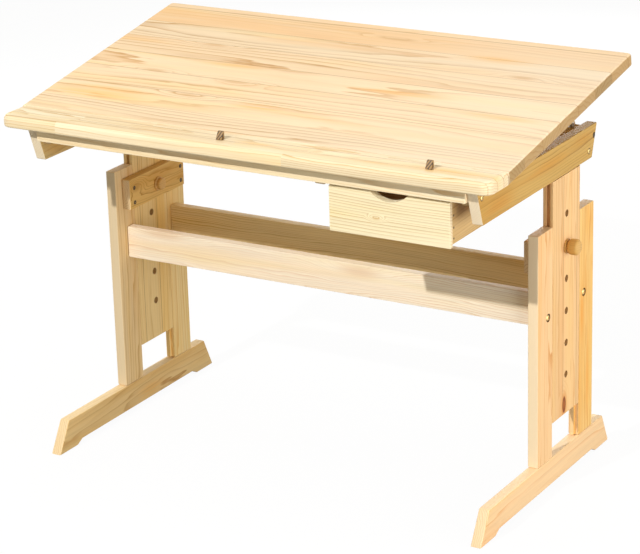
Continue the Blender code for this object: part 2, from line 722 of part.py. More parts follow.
def make_front_strip(parent):
    """The fixed front strip of the top, with a round nose and pockets for the hinges."""
    half = TOP_WIDTH / 2
    inner = half - STRIP_CORNER
    turn_y = STRIP_FRONT + STRIP_CORNER
    points = [(half, STRIP_REAR), (-half, STRIP_REAR)]
    points += arc((-inner, turn_y), STRIP_CORNER, 180.0, 270.0, CORNER_FACETS)
    points += arc((inner, turn_y), STRIP_CORNER, 270.0, 360.0, CORNER_FACETS)
    mesh = outline_mesh("front_strip", points, TOP_THICKNESS, Matrix.Identity(4))
    strip = add_piece("front_strip", mesh, (0.0, 0.0, TOP_HEIGHT - TOP_THICKNESS / 2), PINE_PALE, parent)
    round_top_edges(strip, STRIP_REAR, STRIP_ROUNDING, STRIP_LOWER_ROUNDING)
    cut_hinge_pockets(strip, -1, AXIS_Y, AXIS_Z)


def cut_hinge_pockets(piece, end, axis_y, axis_z):
    """Room in a meeting edge for each hinge's knuckles and leaf; end is -1 for the strip, 1 for the panel."""
    pocket = KNUCKLE_RADIUS + POCKET_CLEARANCE
    leaf = LEAF_OFFSET + LEAF_THICKNESS + GAP
    leaf_low = PANEL_LOW + LEAF_MARGIN - GAP
    half = HINGE_LENGTH / 2 + GAP
    for side in (-1, 1):
        middle = side * HINGE_X
        ends = sorted((axis_y, axis_y + end * pocket))
        cut_box(piece, (middle - half, ends[0], axis_z - pocket), (middle + half, ends[1], axis_z + pocket))
        ends = sorted((axis_y, axis_y + end * leaf))
        cut_box(piece, (middle - half, ends[0], axis_z + leaf_low), (middle + half, ends[1], axis_z))


def make_leaf(name, side, end, axis_y, axis_z, parent):
    """One hinge leaf; the fixed one (end -1) has the outer knuckles, the moving one the middle knuckle."""
    middle = side * HINGE_X
    half = HINGE_LENGTH / 2
    segment = HINGE_LENGTH / 3
    ends = sorted((axis_y + end * LEAF_OFFSET, axis_y + end * (LEAF_OFFSET + LEAF_THICKNESS)))
    low = (middle - half, ends[0], axis_z + PANEL_LOW + LEAF_MARGIN)
    high = (middle + half, ends[1], axis_z - HINGE_SEGMENT_GAP)
    centre, size = middle_of(low, high)
    leaf = add_piece(name, box_mesh(name, size), centre, BRASS, parent)
    under = axis_z - KNUCKLE_RADIUS - HINGE_SEGMENT_GAP
    if end < 0:
        own = [middle - segment, middle + segment]
        other = [middle]
    else:
        own = [middle]
        other = [middle - segment, middle + segment]
    for place in other:
        reach = segment / 2 + HINGE_SEGMENT_GAP / 2
        room_high = (place + reach, axis_y + segment, axis_z + segment)
        cut_box(leaf, (place - reach, axis_y - segment, under), room_high)
    for place in own:
        barrel = segment - HINGE_SEGMENT_GAP
        join_rod(leaf, (place, axis_y, axis_z), KNUCKLE_RADIUS, barrel, "X", SMALL_FACETS)
    cut_rod(leaf, (middle, axis_y, axis_z), HINGE_PIN_RADIUS + GAP, 2 * HINGE_LENGTH, "X", SMALL_FACETS)


def make_stop(label, middle_x, parent):
    """A small dark wedge on the front strip, with its slope to the front."""
    front = STRIP_FRONT + STOP_SETBACK
    base = TOP_HEIGHT + GAP
    points = [
        (front, base),
        (front + STOP_DEPTH, base),
        (front + STOP_DEPTH, base + STOP_HEIGHT),
        (front + STOP_DEPTH - STOP_CREST, base + STOP_HEIGHT),
        (front, base + STOP_TOE),
    ]
    name = "strip_stop_" + label
    mesh = outline_mesh(name, points, STOP_WIDTH, SIDE_ON)
    stop = add_piece(name, mesh, (middle_x, 0.0, 0.0), DARK_WOOD, parent)
    ease_edges(stop, STOP_ROUNDING, 1)


def make_runners(parent):
    """The two runner strips whose edges lie in the grooves of the drawer's sides."""
    low_z, high_z = RUNNER_LOW, RUNNER_TOP
    left_high = (DRAWER_LEFT + RUNNER_TONGUE, DRAWER_REAR, high_z)
    board("drawer_runner_left", (HANGER_LEFT, RUNNER_FRONT, low_z), left_high, PINE, parent, DRAWER_ROUNDING)
    right_low = (DRAWER_RIGHT - RUNNER_TONGUE, RUNNER_FRONT, low_z)
    right_high = (LEG_INNER_X - GAP, DRAWER_REAR, high_z)
    board("drawer_runner_right", right_low, right_high, PINE, parent, DRAWER_ROUNDING)


# The tilting panel, in the frame of its hinge axis


def make_panel(tilt):
    """The large board of the top, level in its own frame, with a chamfer at the seam."""
    half = TOP_WIDTH / 2
    inner = half - PANEL_CORNER
    turn_y = PANEL_DEPTH - PANEL_CORNER
    front = SEAM_GAP / 2
    points = [(-half, front), (half, front)]
    points += arc((inner, turn_y), PANEL_CORNER, 0.0, 90.0, CORNER_FACETS)
    points += arc((-inner, turn_y), PANEL_CORNER, 90.0, 180.0, CORNER_FACETS)
    mesh = outline_mesh("top_panel", points, TOP_THICKNESS, Matrix.Identity(4))
    panel = add_piece("top_panel", mesh, (0.0, 0.0, HINGE_DEPTH - TOP_THICKNESS / 2), PINE_PALE, tilt)
    round_top_edges(panel, front, PANEL_ROUNDING, PANEL_ROUNDING)
    reach = SEAM_CHAMFER * math.sqrt(2)
    size = (2 * TOP_WIDTH, reach, reach)
    chamfer = add_tool("top_panel_chamfer", box_mesh("chamfer", size), (0.0, front, HINGE_DEPTH), tilt)
    chamfer.rotation_euler = (math.pi / 4, 0.0, 0.0)
    combine(panel, chamfer, "DIFFERENCE")
    cut_hinge_pockets(panel, 1, 0.0, 0.0)


def make_batten(label, side, tilt):
    """A batten screwed under the panel, bored for the prop's pivot pin, and the pin."""
    low_x, high_x = span(side, BATTEN_X, BATTEN_X + BATTEN_THICKNESS)
    top = PANEL_LOW - GAP
    low = (low_x, BATTEN_START, top - BATTEN_HEIGHT)
    batten = board("panel_batten_" + label, low, (high_x, BATTEN_END, top), PINE, tilt)
    pivot = (side * BATTEN_X, PROP_PIVOT, PROP_PIVOT_Z)
    cut_rod(batten, pivot, PROP_PIN_RADIUS + GAP, 2 * (PROP_PIN_SEAT + GAP), "X", SMALL_FACETS)
    inner = BATTEN_X - GAP - PROP_ARM_THICKNESS - PROP_PIN_PROUD
    outer = BATTEN_X + PROP_PIN_SEAT
    middle = (side * (inner + outer) / 2, PROP_PIVOT, PROP_PIVOT_Z)
    rod("prop_pin_" + label, middle, PROP_PIN_RADIUS, outer - inner, "X", STEEL, tilt, SMALL_FACETS)


# The prop, in the frame of its pivot, level when the panel is level


def make_prop(prop):
    """Two arms and the bar that stands on the racks."""
    radius = PROP_ARM_HEIGHT / 2
    points = arc((0.0, 0.0), radius, 90.0, 270.0, 2 * CORNER_FACETS)
    points += arc((PROP_LENGTH, 0.0), radius, -90.0, 90.0, 2 * CORNER_FACETS)
    for label, side in SIDES:
        name = "prop_arm_" + label
        mesh = outline_mesh(name, points, PROP_ARM_THICKNESS, SIDE_ON)
        middle_x = side * (BATTEN_X - GAP - PROP_ARM_THICKNESS / 2)
        arm = add_piece(name, mesh, (middle_x, 0.0, 0.0), PINE, prop)
        bore = 2 * PROP_ARM_THICKNESS
        cut_rod(arm, (middle_x, 0.0, 0.0), PROP_PIN_RADIUS + GAP, bore, "X", SMALL_FACETS)
        cut_rod(arm, (middle_x, PROP_LENGTH, 0.0), PROP_BAR_RADIUS + GAP, bore, "X")
    length = 2 * (RACK_INNER_X + PROP_BAR_LAP)
    rod("prop_bar", (0.0, PROP_LENGTH, 0.0), PROP_BAR_RADIUS, length, "X", STEEL, prop)


# The drawer


def make_drawer(slide):
    """Front, two sides, back and bottom of the drawer."""
    front_rear = DRAWER_FRONT + DRAWER_FRONT_THICKNESS
    lap_y = front_rear - DRAWER_REBATE
    low = (DRAWER_LEFT, DRAWER_FRONT, DRAWER_LOW)
    high = (DRAWER_RIGHT, front_rear, DRAWER_TOP)
    face = board("drawer_front", low, high, PINE_PALE, slide, DRAWER_ROUNDING)
    cut_radius = (FINGER_CUT_WIDTH ** 2 / 4 + FINGER_CUT_DEPTH ** 2) / (2 * FINGER_CUT_DEPTH)
    cut_middle = (DRAWER_X, DRAWER_FRONT, DRAWER_TOP + cut_radius - FINGER_CUT_DEPTH)
    cut_rod(face, cut_middle, cut_radius, 4 * DRAWER_FRONT_THICKNESS, "Y", FINGER_CUT_FACETS)
    floor_low = DRAWER_LOW + DRAWER_BOTTOM_RISE
    floor_high = floor_low + DRAWER_BOTTOM_THICKNESS
    inner = DRAWER_WIDTH / 2 - DRAWER_SIDE_THICKNESS
    for side in (-1, 1):
        rebate = span(side, inner - GAP, DRAWER_WIDTH)
        cut_box(
            face,
            (DRAWER_X + rebate[0], lap_y - GAP, DRAWER_LOW - DRAWER_REBATE),
            (DRAWER_X + rebate[1], front_rear + DRAWER_REBATE, DRAWER_TOP + DRAWER_REBATE),
        )
    slot_low = floor_low - GAP
    slot_high = floor_high + GAP
    floor_front = front_rear - DRAWER_GROOVE
    floor_reach = inner + DRAWER_GROOVE
    cut_box(
        face,
        (DRAWER_X - floor_reach - GAP, floor_front - GAP, slot_low),
        (DRAWER_X + floor_reach + GAP, front_rear + DRAWER_GROOVE, slot_high),
    )
    for label, side in SIDES:
        low_x, high_x = span(side, inner, DRAWER_WIDTH / 2)
        low = (DRAWER_X + low_x, lap_y, DRAWER_LOW + DRAWER_SIDE_RISE)
        high = (DRAWER_X + high_x, DRAWER_REAR, DRAWER_TOP)
        wall = board("drawer_side_" + label, low, high, PINE, slide, DRAWER_ROUNDING)
        slot = span(side, inner - DRAWER_GROOVE, floor_reach + GAP)
        cut_box(
            wall,
            (DRAWER_X + slot[0], lap_y - DRAWER_GROOVE, slot_low),
            (DRAWER_X + slot[1], DRAWER_REAR + DRAWER_GROOVE, slot_high),
        )
        groove = span(side, DRAWER_WIDTH / 2 - RUNNER_SLOT, DRAWER_WIDTH)
        cut_box(
            wall,
            (DRAWER_X + groove[0], RUNNER_FRONT - GAP, RUNNER_LOW - GAP),
            (DRAWER_X + groove[1], DRAWER_REAR + RUNNER_SLOT, RUNNER_TOP + GAP),
        )
    back_low = (DRAWER_X - inner + GAP, DRAWER_REAR - DRAWER_BACK_THICKNESS, floor_high + GAP)
    back_high = (DRAWER_X + inner - GAP, DRAWER_REAR, DRAWER_TOP)
    board("drawer_back", back_low, back_high, PINE, slide, DRAWER_ROUNDING)
    bottom_low = (DRAWER_X - floor_reach, floor_front, floor_low)
    middle, size = middle_of(bottom_low, (DRAWER_X + floor_reach, DRAWER_REAR, floor_high))
    add_piece("drawer_bottom", box_mesh("drawer_bottom", size), middle, PLYWOOD, slide)


# The height locks: a knob with a stud through the sliding board


def make_lock(label, side, parent):
    """A turned knob and its stud, on the axis of the lock hole."""
    face = LEG_OUTER_X + GAP
    place = (side * face, LEG_Y, LOCK_HEIGHT)
    neck = KNOB_RING_WIDTH + KNOB_NECK_WIDTH
    shoulder = KNOB_RADIUS - KNOB_NECK_RADIUS
    profile = [
        (0.0, 0.0),
        (KNOB_RING_RADIUS, 0.0),
        (KNOB_RING_RADIUS, KNOB_RING_WIDTH),
        (KNOB_NECK_RADIUS, KNOB_RING_WIDTH),
        (KNOB_NECK_RADIUS, neck),
    ]
    swell = arc((KNOB_NECK_RADIUS, 0.0), shoulder, -KNOB_SHOULDER_TURN, 0.0, SHOULDER_FACETS)
    profile += [(radius, distance + neck + shoulder) for radius, distance in swell]
    crown = KNOB_LENGTH - neck - shoulder
    turns = [math.pi / 2 * k / CROWN_FACETS for k in range(1, CROWN_FACETS)]
    profile += [(KNOB_RADIUS * math.cos(a), KNOB_LENGTH - crown + crown * math.sin(a)) for a in turns]
    profile.append((0.0, KNOB_LENGTH))
    knob = turned("lock_knob_" + label, profile, place, side, PINE, parent)
    bore = 2 * (STUD_IN_KNOB + GAP)
    cut_rod(knob, place, STUD_RADIUS + GAP, bore, "X", SMALL_FACETS)
    inner = LEG_INNER_X
    outer = face + STUD_IN_KNOB
    middle = (side * (inner + outer) / 2, LEG_Y, LOCK_HEIGHT)
    rod("lock_stud_" + label, middle, STUD_RADIUS, outer - inner, "X", STEEL, parent)


# Assembly

frame_slide = add_axis("frame_slide", (0.0, 0.0, 0.0))
tilt_axis = add_axis("tilt_axis", (0.0, AXIS_Y, AXIS_Z), frame_slide, TILT_REST)
prop_axis = add_axis("prop_axis", (0.0, PROP_PIVOT, PROP_PIVOT_Z), tilt_axis, -TILT_REST - PROP_LEAN)
drawer_slide = add_axis("drawer_slide", (0.0, 0.0, 0.0), frame_slide)

for side_label, side_sign in SIDES:
    make_foot(side_label, side_sign)
    for end_sign in (-1, 1):
        make_upright(side_label, side_sign, end_sign)
        make_bolt(side_label, side_sign, end_sign)
    make_cleat(side_label, side_sign)
    make_slider(side_label, side_sign, frame_slide)
    make_side_rail(side_label, side_sign, frame_slide)
    make_rack(side_label, side_sign, frame_slide)
    make_lock(side_label, side_sign, frame_slide)
    make_batten(side_label, side_sign, tilt_axis)
    make_leaf("hinge_leaf_fixed_" + side_label, side_sign, -1, AXIS_Y, AXIS_Z, frame_slide)
    make_leaf("hinge_leaf_moving_" + side_label, side_sign, 1, 0.0, 0.0, tilt_axis)
    pin_place = (side_sign * HINGE_X, AXIS_Y, AXIS_Z)
    pin_name = "hinge_pin_" + side_label
    rod(pin_name, pin_place, HINGE_PIN_RADIUS, HINGE_LENGTH, "X", STEEL, frame_slide, SMALL_FACETS)

make_stretcher("front", -1)
make_stretcher("rear", 1)
make_cross_rails(frame_slide)
make_front_strip(frame_slide)
make_stop("left", STOP_LEFT_X, frame_slide)
make_stop("right", STOP_RIGHT_X, frame_slide)
make_runners(frame_slide)
make_panel(tilt_axis)
make_prop(prop_axis)
make_drawer(drawer_slide)
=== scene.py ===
"""Looks of a height-adjustable pine desk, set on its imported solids."""

import json
import math
import random

import bmesh
import bpy
from mathutils import Matrix, Vector


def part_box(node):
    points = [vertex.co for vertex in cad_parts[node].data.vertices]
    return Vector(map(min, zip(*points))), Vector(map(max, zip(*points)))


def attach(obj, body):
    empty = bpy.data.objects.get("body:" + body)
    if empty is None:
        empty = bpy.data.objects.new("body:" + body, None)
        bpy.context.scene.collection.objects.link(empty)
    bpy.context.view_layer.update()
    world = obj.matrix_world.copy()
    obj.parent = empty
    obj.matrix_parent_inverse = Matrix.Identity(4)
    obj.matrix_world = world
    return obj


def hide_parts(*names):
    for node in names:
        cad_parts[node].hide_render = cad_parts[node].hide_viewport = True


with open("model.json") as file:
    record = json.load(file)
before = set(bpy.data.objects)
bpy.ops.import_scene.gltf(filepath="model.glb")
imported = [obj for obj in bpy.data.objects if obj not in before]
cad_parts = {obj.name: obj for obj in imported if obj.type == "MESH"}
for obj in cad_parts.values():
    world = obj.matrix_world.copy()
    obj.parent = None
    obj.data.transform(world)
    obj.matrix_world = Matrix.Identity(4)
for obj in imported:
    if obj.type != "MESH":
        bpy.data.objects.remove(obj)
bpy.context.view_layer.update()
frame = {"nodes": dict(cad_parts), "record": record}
scene = bpy.context.scene
nodes = frame["nodes"]


def middle(name):
    """The middle of a solid's box."""
    low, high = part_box(name)
    return (Vector(low) + Vector(high)) / 2


# Places that the materials and the small fittings share with the solids
TILT = math.radians(9.5)
SEAM = (0.0, middle("hinge_pin_right").y, middle("hinge_pin_right").z)
LEG_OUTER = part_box("upright_right_front")[1].x
LEG_Y = middle("lock_knob_right").y
LOCK_Z = middle("lock_knob_right").z
HOLE_PITCH = 0.0675
BOLT_Z = middle("stretcher_bolt_right_front").z
BOLT_YS = {end: middle("stretcher_bolt_right_" + end).y for end in ("front", "rear")}
SIDES = (("left", -1), ("right", 1))

# Screws of the side rails and of the cleats, in from the ends and up from the lower edge
RAIL_LOW, RAIL_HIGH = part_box("side_rail_right")
RAIL_SCREWS = (
    (RAIL_LOW.y + 0.0178, RAIL_LOW.z + 0.0551),
    (RAIL_HIGH.y - 0.0375, RAIL_LOW.z + 0.0174),
    (RAIL_HIGH.y - 0.0144, RAIL_LOW.z + 0.0447),
)
CLEAT_LOW, CLEAT_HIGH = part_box("cleat_right")
CLEAT_SCREW_YS = (CLEAT_LOW.y + 0.0166, CLEAT_HIGH.y - 0.0134)
CLEAT_SCREW_ZS = (CLEAT_LOW.z + 0.0135, CLEAT_LOW.z + 0.0455)


# Node helpers

WHITE = (1.0, 1.0, 1.0, 1.0)


def put(tree, socket, value):
    """Links a socket, or sets its value."""
    if isinstance(value, bpy.types.NodeSocket):
        tree.links.new(value, socket)
    else:
        socket.default_value = value


def calc(tree, operation, *values):
    """One math node."""
    node = tree.nodes.new("ShaderNodeMath")
    node.operation = operation
    for k, value in enumerate(values):
        put(tree, node.inputs[k], value)
    return node.outputs[0]


def length(tree, first, second):
    """Length of two offsets at right angles."""
    squares = calc(tree, "ADD", calc(tree, "POWER", first, 2.0), calc(tree, "POWER", second, 2.0))
    return calc(tree, "SQRT", squares)


def coordinates(tree, vector):
    """The three numbers of a vector."""
    split = tree.nodes.new("ShaderNodeSeparateXYZ")
    put(tree, split.inputs[0], vector)
    return split.outputs


def stretched(tree, axes, scales):
    """A point scaled along each axis, for noise."""
    node = tree.nodes.new("ShaderNodeCombineXYZ")
    for socket, axis, scale in zip(node.inputs, axes, scales):
        put(tree, socket, calc(tree, "MULTIPLY", axis, scale))
    return node.outputs[0]


def noise(tree, axes, scales, detail=2.0, roughness=0.5):
    """Smooth noise between 0 and 1, in cycles per metre along each axis."""
    node = tree.nodes.new("ShaderNodeTexNoise")
    put(tree, node.inputs["Vector"], stretched(tree, axes, scales))
    put(tree, node.inputs["Scale"], 1.0)
    put(tree, node.inputs["Detail"], detail)
    put(tree, node.inputs["Roughness"], roughness)
    return node.outputs["Fac"]


def lucky(tree, key):
    """Three random numbers between 0 and 1 from a number."""
    luck = tree.nodes.new("ShaderNodeTexWhiteNoise")
    luck.noise_dimensions = "1D"
    put(tree, luck.inputs["W"], key)
    channels = tree.nodes.new("ShaderNodeSeparateColor")
    put(tree, channels.inputs[0], luck.outputs["Color"])
    return channels.outputs


def ramp(tree, value, stops):
    """A grey ramp through (position, grey) stops."""
    node = tree.nodes.new("ShaderNodeValToRGB")
    put(tree, node.inputs["Fac"], value)
    elements = node.color_ramp.elements
    while len(elements) < len(stops):
        elements.new(0.5)
    for element, (position, grey) in zip(elements, stops):
        element.position = position
        element.color = (grey, grey, grey, 1.0)
    return node.outputs["Color"]


def smooth(tree, value, start, end):
    """0 before start, 1 after end, with a soft step between them."""
    node = tree.nodes.new("ShaderNodeMapRange")
    node.interpolation_type = "SMOOTHSTEP"
    put(tree, node.inputs["Value"], value)
    put(tree, node.inputs["From Min"], start)
    put(tree, node.inputs["From Max"], end)
    return node.outputs["Result"]


def mix(tree, factor, first, second, blend="MIX"):
    """Two colours mixed by a factor."""
    node = tree.nodes.new("ShaderNodeMix")
    node.data_type = "RGBA"
    node.blend_type = blend
    put(tree, node.inputs["Factor"], factor)
    put(tree, node.inputs["A"], first)
    put(tree, node.inputs["B"], second)
    return node.outputs["Result"]


def coated(tree, cover, share, shade, coat):
    """A colour with a share of another colour over it, where the cover is."""
    return mix(tree, calc(tree, "MULTIPLY", cover, share), shade, coat)


def tinted(tree, shade, tint):
    """A colour multiplied by a tint."""
    return mix(tree, 1.0, shade, tint, "MULTIPLY")


def colour(code):
    """A colour code as linear red, green, blue and alpha."""
    values = [int(code[k:k + 2], 16) / 255 for k in (1, 3, 5)]
    linear = [v / 12.92 if v <= 0.04045 else ((v + 0.055) / 1.055) ** 2.4 for v in values]
    return (*linear, 1.0)


def start(name):
    """A new material with its node tree, its shader and its texture coordinates."""
    made = bpy.data.materials.new(name)
    made.use_nodes = True
    tree = made.node_tree
    return made, tree, tree.nodes["Principled BSDF"], tree.nodes.new("ShaderNodeTexCoord").outputs


def relief(tree, shader, strength, distance, height):
    """Fine bumps on a shader."""
    bump = tree.nodes.new("ShaderNodeBump")
    put(tree, bump.inputs["Strength"], strength)
    put(tree, bump.inputs["Distance"], distance)
    put(tree, bump.inputs["Height"], height)
    put(tree, shader.inputs["Normal"], bump.outputs["Normal"])


# Pine

# Colours of the early wood, the late wood and the warm clouds
LOOKS = {
    "top": ("#FCE3BE", "#CC9C62", "#F9C98E"),
    "strip": ("#FEEECC", "#D8B070", "#F9D49A"),
    "apron": ("#FDEFCE", "#E0BC84", "#F9DCAA"),
    "leg_left": ("#F8DAA6", "#CE9E58", "#EEC07C"),
    "leg_left_rear": ("#FFE2A4", "#E8AE56", "#FCCE7C"),
    "slide_left": ("#FEE0A2", "#D4A252", "#FACC7A"),
    "cleat": ("#F0C87A", "#B47E34", "#DAA046"),
    "leg_right": ("#FBD09A", "#DE9A54", "#F6B878"),
    "slide_right": ("#FAD29A", "#D89A56", "#F4BA7C"),
    "upright_orange": ("#FAD086", "#DE983E", "#F2AE52"),
    # foot_left is darker than foot_right: painted shade for the inner side of the left foot
    "foot_left": ("#F2D092", "#C08A42", "#E6B464"),
    "foot_right": ("#FCD6A4", "#E8A866", "#F8C084"),
    "rail": ("#D0A85E", "#A27632", "#BE8832"),
    "rail_left": ("#E8CA8A", "#BE9658", "#D6AC60"),
    "drawer": ("#FDF0CA", "#CFA45C", "#F6DEA2"),
    # drawer_side is darker than the drawer front: painted shade for the drawer's sides and back, which sit
    # under the rails
    "drawer_side": ("#DAB880", "#B0824A", "#CCA264"),
    "stretcher": ("#FFF0D8", "#E2BA90", "#FCE2C0"),
    "stretcher_rear": ("#FADEA4", "#C4964E", "#E8BE74"),
    "knob": ("#DDAE62", "#B98038", "#D09A4C"),
}

# End grain: share of the end colour, its colour, depth of the rings in it
END_GRAIN = {
    "pale": (0.65, "#F4E2C2", 0.8),
    "cream": (0.85, "#F8ECD4", 0.2),
    "tan": (0.85, "#A08048", 0.9),
    "same": (0.15, "#F4E2C2", 0.5),
}
END_PALE = (1.0, 0.97, 0.92, 1.0)
END_DARK = (0.84, 0.70, 0.54, 1.0)
END_FACING = (0.55, 0.95)

# Axes along the grain, across the wide face and through the board
GRAINS = {"X": "XYZ", "XZ": "XZY", "Y": "YZX", "Z": "ZYX"}

# Noise in the wood: cycles per metre along and across the grain, detail, roughness
SLOW_WAVE = (1.3, 5.0, 1.0, 0.5)
QUICK_WAVE = (9.0, 45.0, 2.0, 0.5)
UNEVEN_WAVE = (0.5, 65.0, 1.0, 0.5)
PATCHES = (2.2, 16.0, 2.0, 0.5)
CLOUDS = (1.3, 14.0, 3.0, 0.5)
GOLD = (1.7, 19.0, 2.0, 0.5)
FIBRES = (26.0, 700.0, 3.0, 0.6)
STREAKS = (5.0, 150.0, 2.0, 0.6)

# How far the waves, a knot or an eye push a ring out, in metres
SLOW_PUSH = 0.042
QUICK_PUSH = 0.005
UNEVEN_PUSH = 0.008
SPOT_PUSH = 0.018

# Place of the pith: least distance and range, beside and below a plain board, and below a glued one
PITH_BESIDE = (0.02, 0.04)
PITH_BELOW = (0.05, 0.04)
GLUED_PITH_BELOW = (0.03, 0.09)

# Place of the pith across a glued board: spread and start outside it, in shares of its width
GLUED_PITH_SPREAD = 1.6
GLUED_PITH_OUT = 0.2

# Longest shift of the figure along the grain
GRAIN_SHIFT = 23.0

# Offsets that keep the counts of glued boards and staves above zero, and the step between staves
BOARDS_BEFORE = 3.0
STAVES_BEFORE = 10.0
STAVE_KEY = 37.0

# One year from early to late wood: share of the year, darkness; then the strength of a ring
YEAR = ((0.0, 0.0), (0.45, 0.08), (0.75, 0.38), (0.93, 1.0), (1.0, 0.0))
RING_WIDTH = 0.0046
RING_STRENGTH = 1.1
FAINTEST_YEAR = 0.4
PATCH_STEP = (0.15, 0.7)

# Colours over the rings: where they start and end, their share or tint
CLOUD_STEP = (0.45, 0.7)
CLOUD_SHARE = 0.65
GOLD_STEP = (0.5, 0.72)
GOLD_TINT = (1.0, 0.97, 0.84, 1.0)
FIBRE_GREYS = ((0.25, 0.93), (0.75, 1.0))
STREAK_GREYS = ((0.3, 0.93), (0.6, 1.0))
FADE_STEP = (-0.15, 0.5)
FADE_COLOUR = "#FDEED6"
BOARD_WARMTH = 0.25
BOARD_GREYS = ((0.0, 0.92), (1.0, 1.0))
GLUE_STEP = (0.0016, 0.0004)
GLUE_LUCK = (0.0, 0.7)
GLUE_SHARE = 0.6
GLUE_COLOUR = "#9A6C34"
FLAME_STEP = (1.5, 0.1)
FLAME_STREAKS = (0.2, 0.55)
FLAME_TINT = (1.0, 0.84, 0.60, 1.0)
EYE_STEP = (1.6, 0.2)
EYE_SHARE = 0.5
# Edge wear with a painted highlight: its step in from the edges, its patches and its share
EDGE_WEAR_AND_HIGHLIGHT_STEP = (0.0030, 0.0004)
EDGE_WEAR_AND_HIGHLIGHT_PATCHES = (0.3, 0.6)
EDGE_WEAR_AND_HIGHLIGHT_SHARE = 0.5
SPOT_SWELL = (3.5, 0.3)
KNOT_HALO = (2.1, 0.9)
KNOT_HALO_SHARE = 0.6
KNOT_HALO_COLOUR = "#DC8A34"
KNOT_STEP = (1.1, 0.85)
KNOT_SHARE = 0.95
KNOT_HEART = (0.1, 0.8)
KNOT_COLOURS = ("#A85A12", "#7C3A04")
BORE_SOFT = (0.0006, 0.0001)

# Satin lacquer over a slightly raised late wood
LACQUER_GREYS = ((0.2, 0.46), (0.8, 0.62))
LACQUER_SHINE = 0.22
RING_RELIEF = 0.5
WOOD_RELIEF = (0.18, 0.0004)


def grain_noise(tree, point, kind):
    """Noise that is stretched along the grain."""
    along, cross, detail, roughness = kind
    return noise(tree, point, (along, cross, cross), detail, roughness)


def levelled(tree, place, tilt):
    """A place turned back about the seam by a tilt."""
    turn = tree.nodes.new("ShaderNodeVectorRotate")
    turn.rotation_type = "X_AXIS"
    put(tree, turn.inputs["Vector"], place)
    put(tree, turn.inputs["Center"], SEAM)
    put(tree, turn.inputs["Angle"], -tilt)
    return turn.outputs["Vector"]


def oval(tree, offsets, spot):
    """Distance from the middle of an oval spot, 1 at its edge."""
    grain_at, across_at, long, wide = spot
    first = calc(tree, "DIVIDE", calc(tree, "SUBTRACT", offsets[0], grain_at), long)
    second = calc(tree, "DIVIDE", calc(tree, "SUBTRACT", offsets[1], across_at), wide)
    return length(tree, first, second)


def near_edge(tree, axes, low, high):
    """1 at the edges of a board's box, 0 inside its faces."""
    gaps = [calc(tree, "MINIMUM", calc(tree, "SUBTRACT", axis, first), calc(tree, "SUBTRACT", last, axis))
            for axis, first, last in zip(axes, low, high)]
    smaller = calc(tree, "MINIMUM", gaps[0], gaps[1])
    larger = calc(tree, "MAXIMUM", gaps[0], gaps[1])
    second = calc(tree, "MAXIMUM", smaller, calc(tree, "MINIMUM", larger, gaps[2]))
    return smooth(tree, second, *EDGE_WEAR_AND_HIGHLIGHT_STEP)


def glued(tree, grain, across, plank, stave, shift, seed):
    """Boards side by side: the share of a board's width, and three random numbers of each board or stave."""
    share = calc(tree, "DIVIDE", calc(tree, "ADD", across, BOARDS_BEFORE + shift), plank)
    key = calc(tree, "ADD", calc(tree, "FLOOR", share), float(seed))
    if stave:
        offset = calc(tree, "MULTIPLY", lucky(tree, key)[0], stave)
        run = calc(tree, "ADD", grain, calc(tree, "ADD", offset, STAVES_BEFORE))
        count = calc(tree, "FLOOR", calc(tree, "DIVIDE", run, stave))
        key = calc(tree, "ADD", key, calc(tree, "MULTIPLY", count, STAVE_KEY))
    return calc(tree, "FRACT", share), lucky(tree, key)


def growth(tree, aside, deep, waves, spots, ring):
    """Rings about the pith, bent by waves and pushed out by spots: darkness, and strength of each year."""
    bent = length(tree, aside, deep)
    for value, push in waves:
        bent = calc(tree, "ADD", bent, calc(tree, "MULTIPLY", calc(tree, "SUBTRACT", value, 0.5), push))
    for reach in spots:
        bent = calc(tree, "ADD", bent, calc(tree, "MULTIPLY", smooth(tree, reach, *SPOT_SWELL), SPOT_PUSH))
    years = calc(tree, "DIVIDE", bent, ring)
    season = calc(tree, "ADD", lucky(tree, calc(tree, "FLOOR", years))[0], FAINTEST_YEAR)
    return ramp(tree, calc(tree, "FRACT", years), YEAR), season


def knotted(tree, shade, reach):
    """A colour with a knot over it: a halo and a dark heart."""
    halo = smooth(tree, reach, *KNOT_HALO)
    shade = coated(tree, halo, KNOT_HALO_SHARE, shade, colour(KNOT_HALO_COLOUR))
    heart = mix(tree, smooth(tree, reach, *KNOT_HEART), *(colour(code) for code in KNOT_COLOURS))
    return coated(tree, smooth(tree, reach, *KNOT_STEP), KNOT_SHARE, shade, heart)


def holes(grain_at, across_at, radius, code, share, pitch=1.0, lowest=0.0, highest=0.0):
    """A row of painted shade spots, in bored holes or round screws: place, radius, shade colour and its
    share, pitch, first and last step.
    """
    return grain_at, across_at, radius, code, share, pitch, lowest, highest


def bored(tree, shade, grain, across, row):
    """A colour with painted shade over a row of round spots, such as the insides of bored holes."""
    grain_at, across_at, radius, code, share, pitch, lowest, highest = row
    rise = calc(tree, "SUBTRACT", grain, grain_at)
    step = calc(tree, "ROUND", calc(tree, "DIVIDE", rise, pitch))
    step = calc(tree, "MAXIMUM", calc(tree, "MINIMUM", step, highest), lowest)
    rise = calc(tree, "SUBTRACT", rise, calc(tree, "MULTIPLY", step, pitch))
    away = length(tree, rise, calc(tree, "SUBTRACT", across, across_at))
    inside = smooth(tree, away, *(radius + soft for soft in BORE_SOFT))
    return coated(tree, inside, share, shade, colour(code))


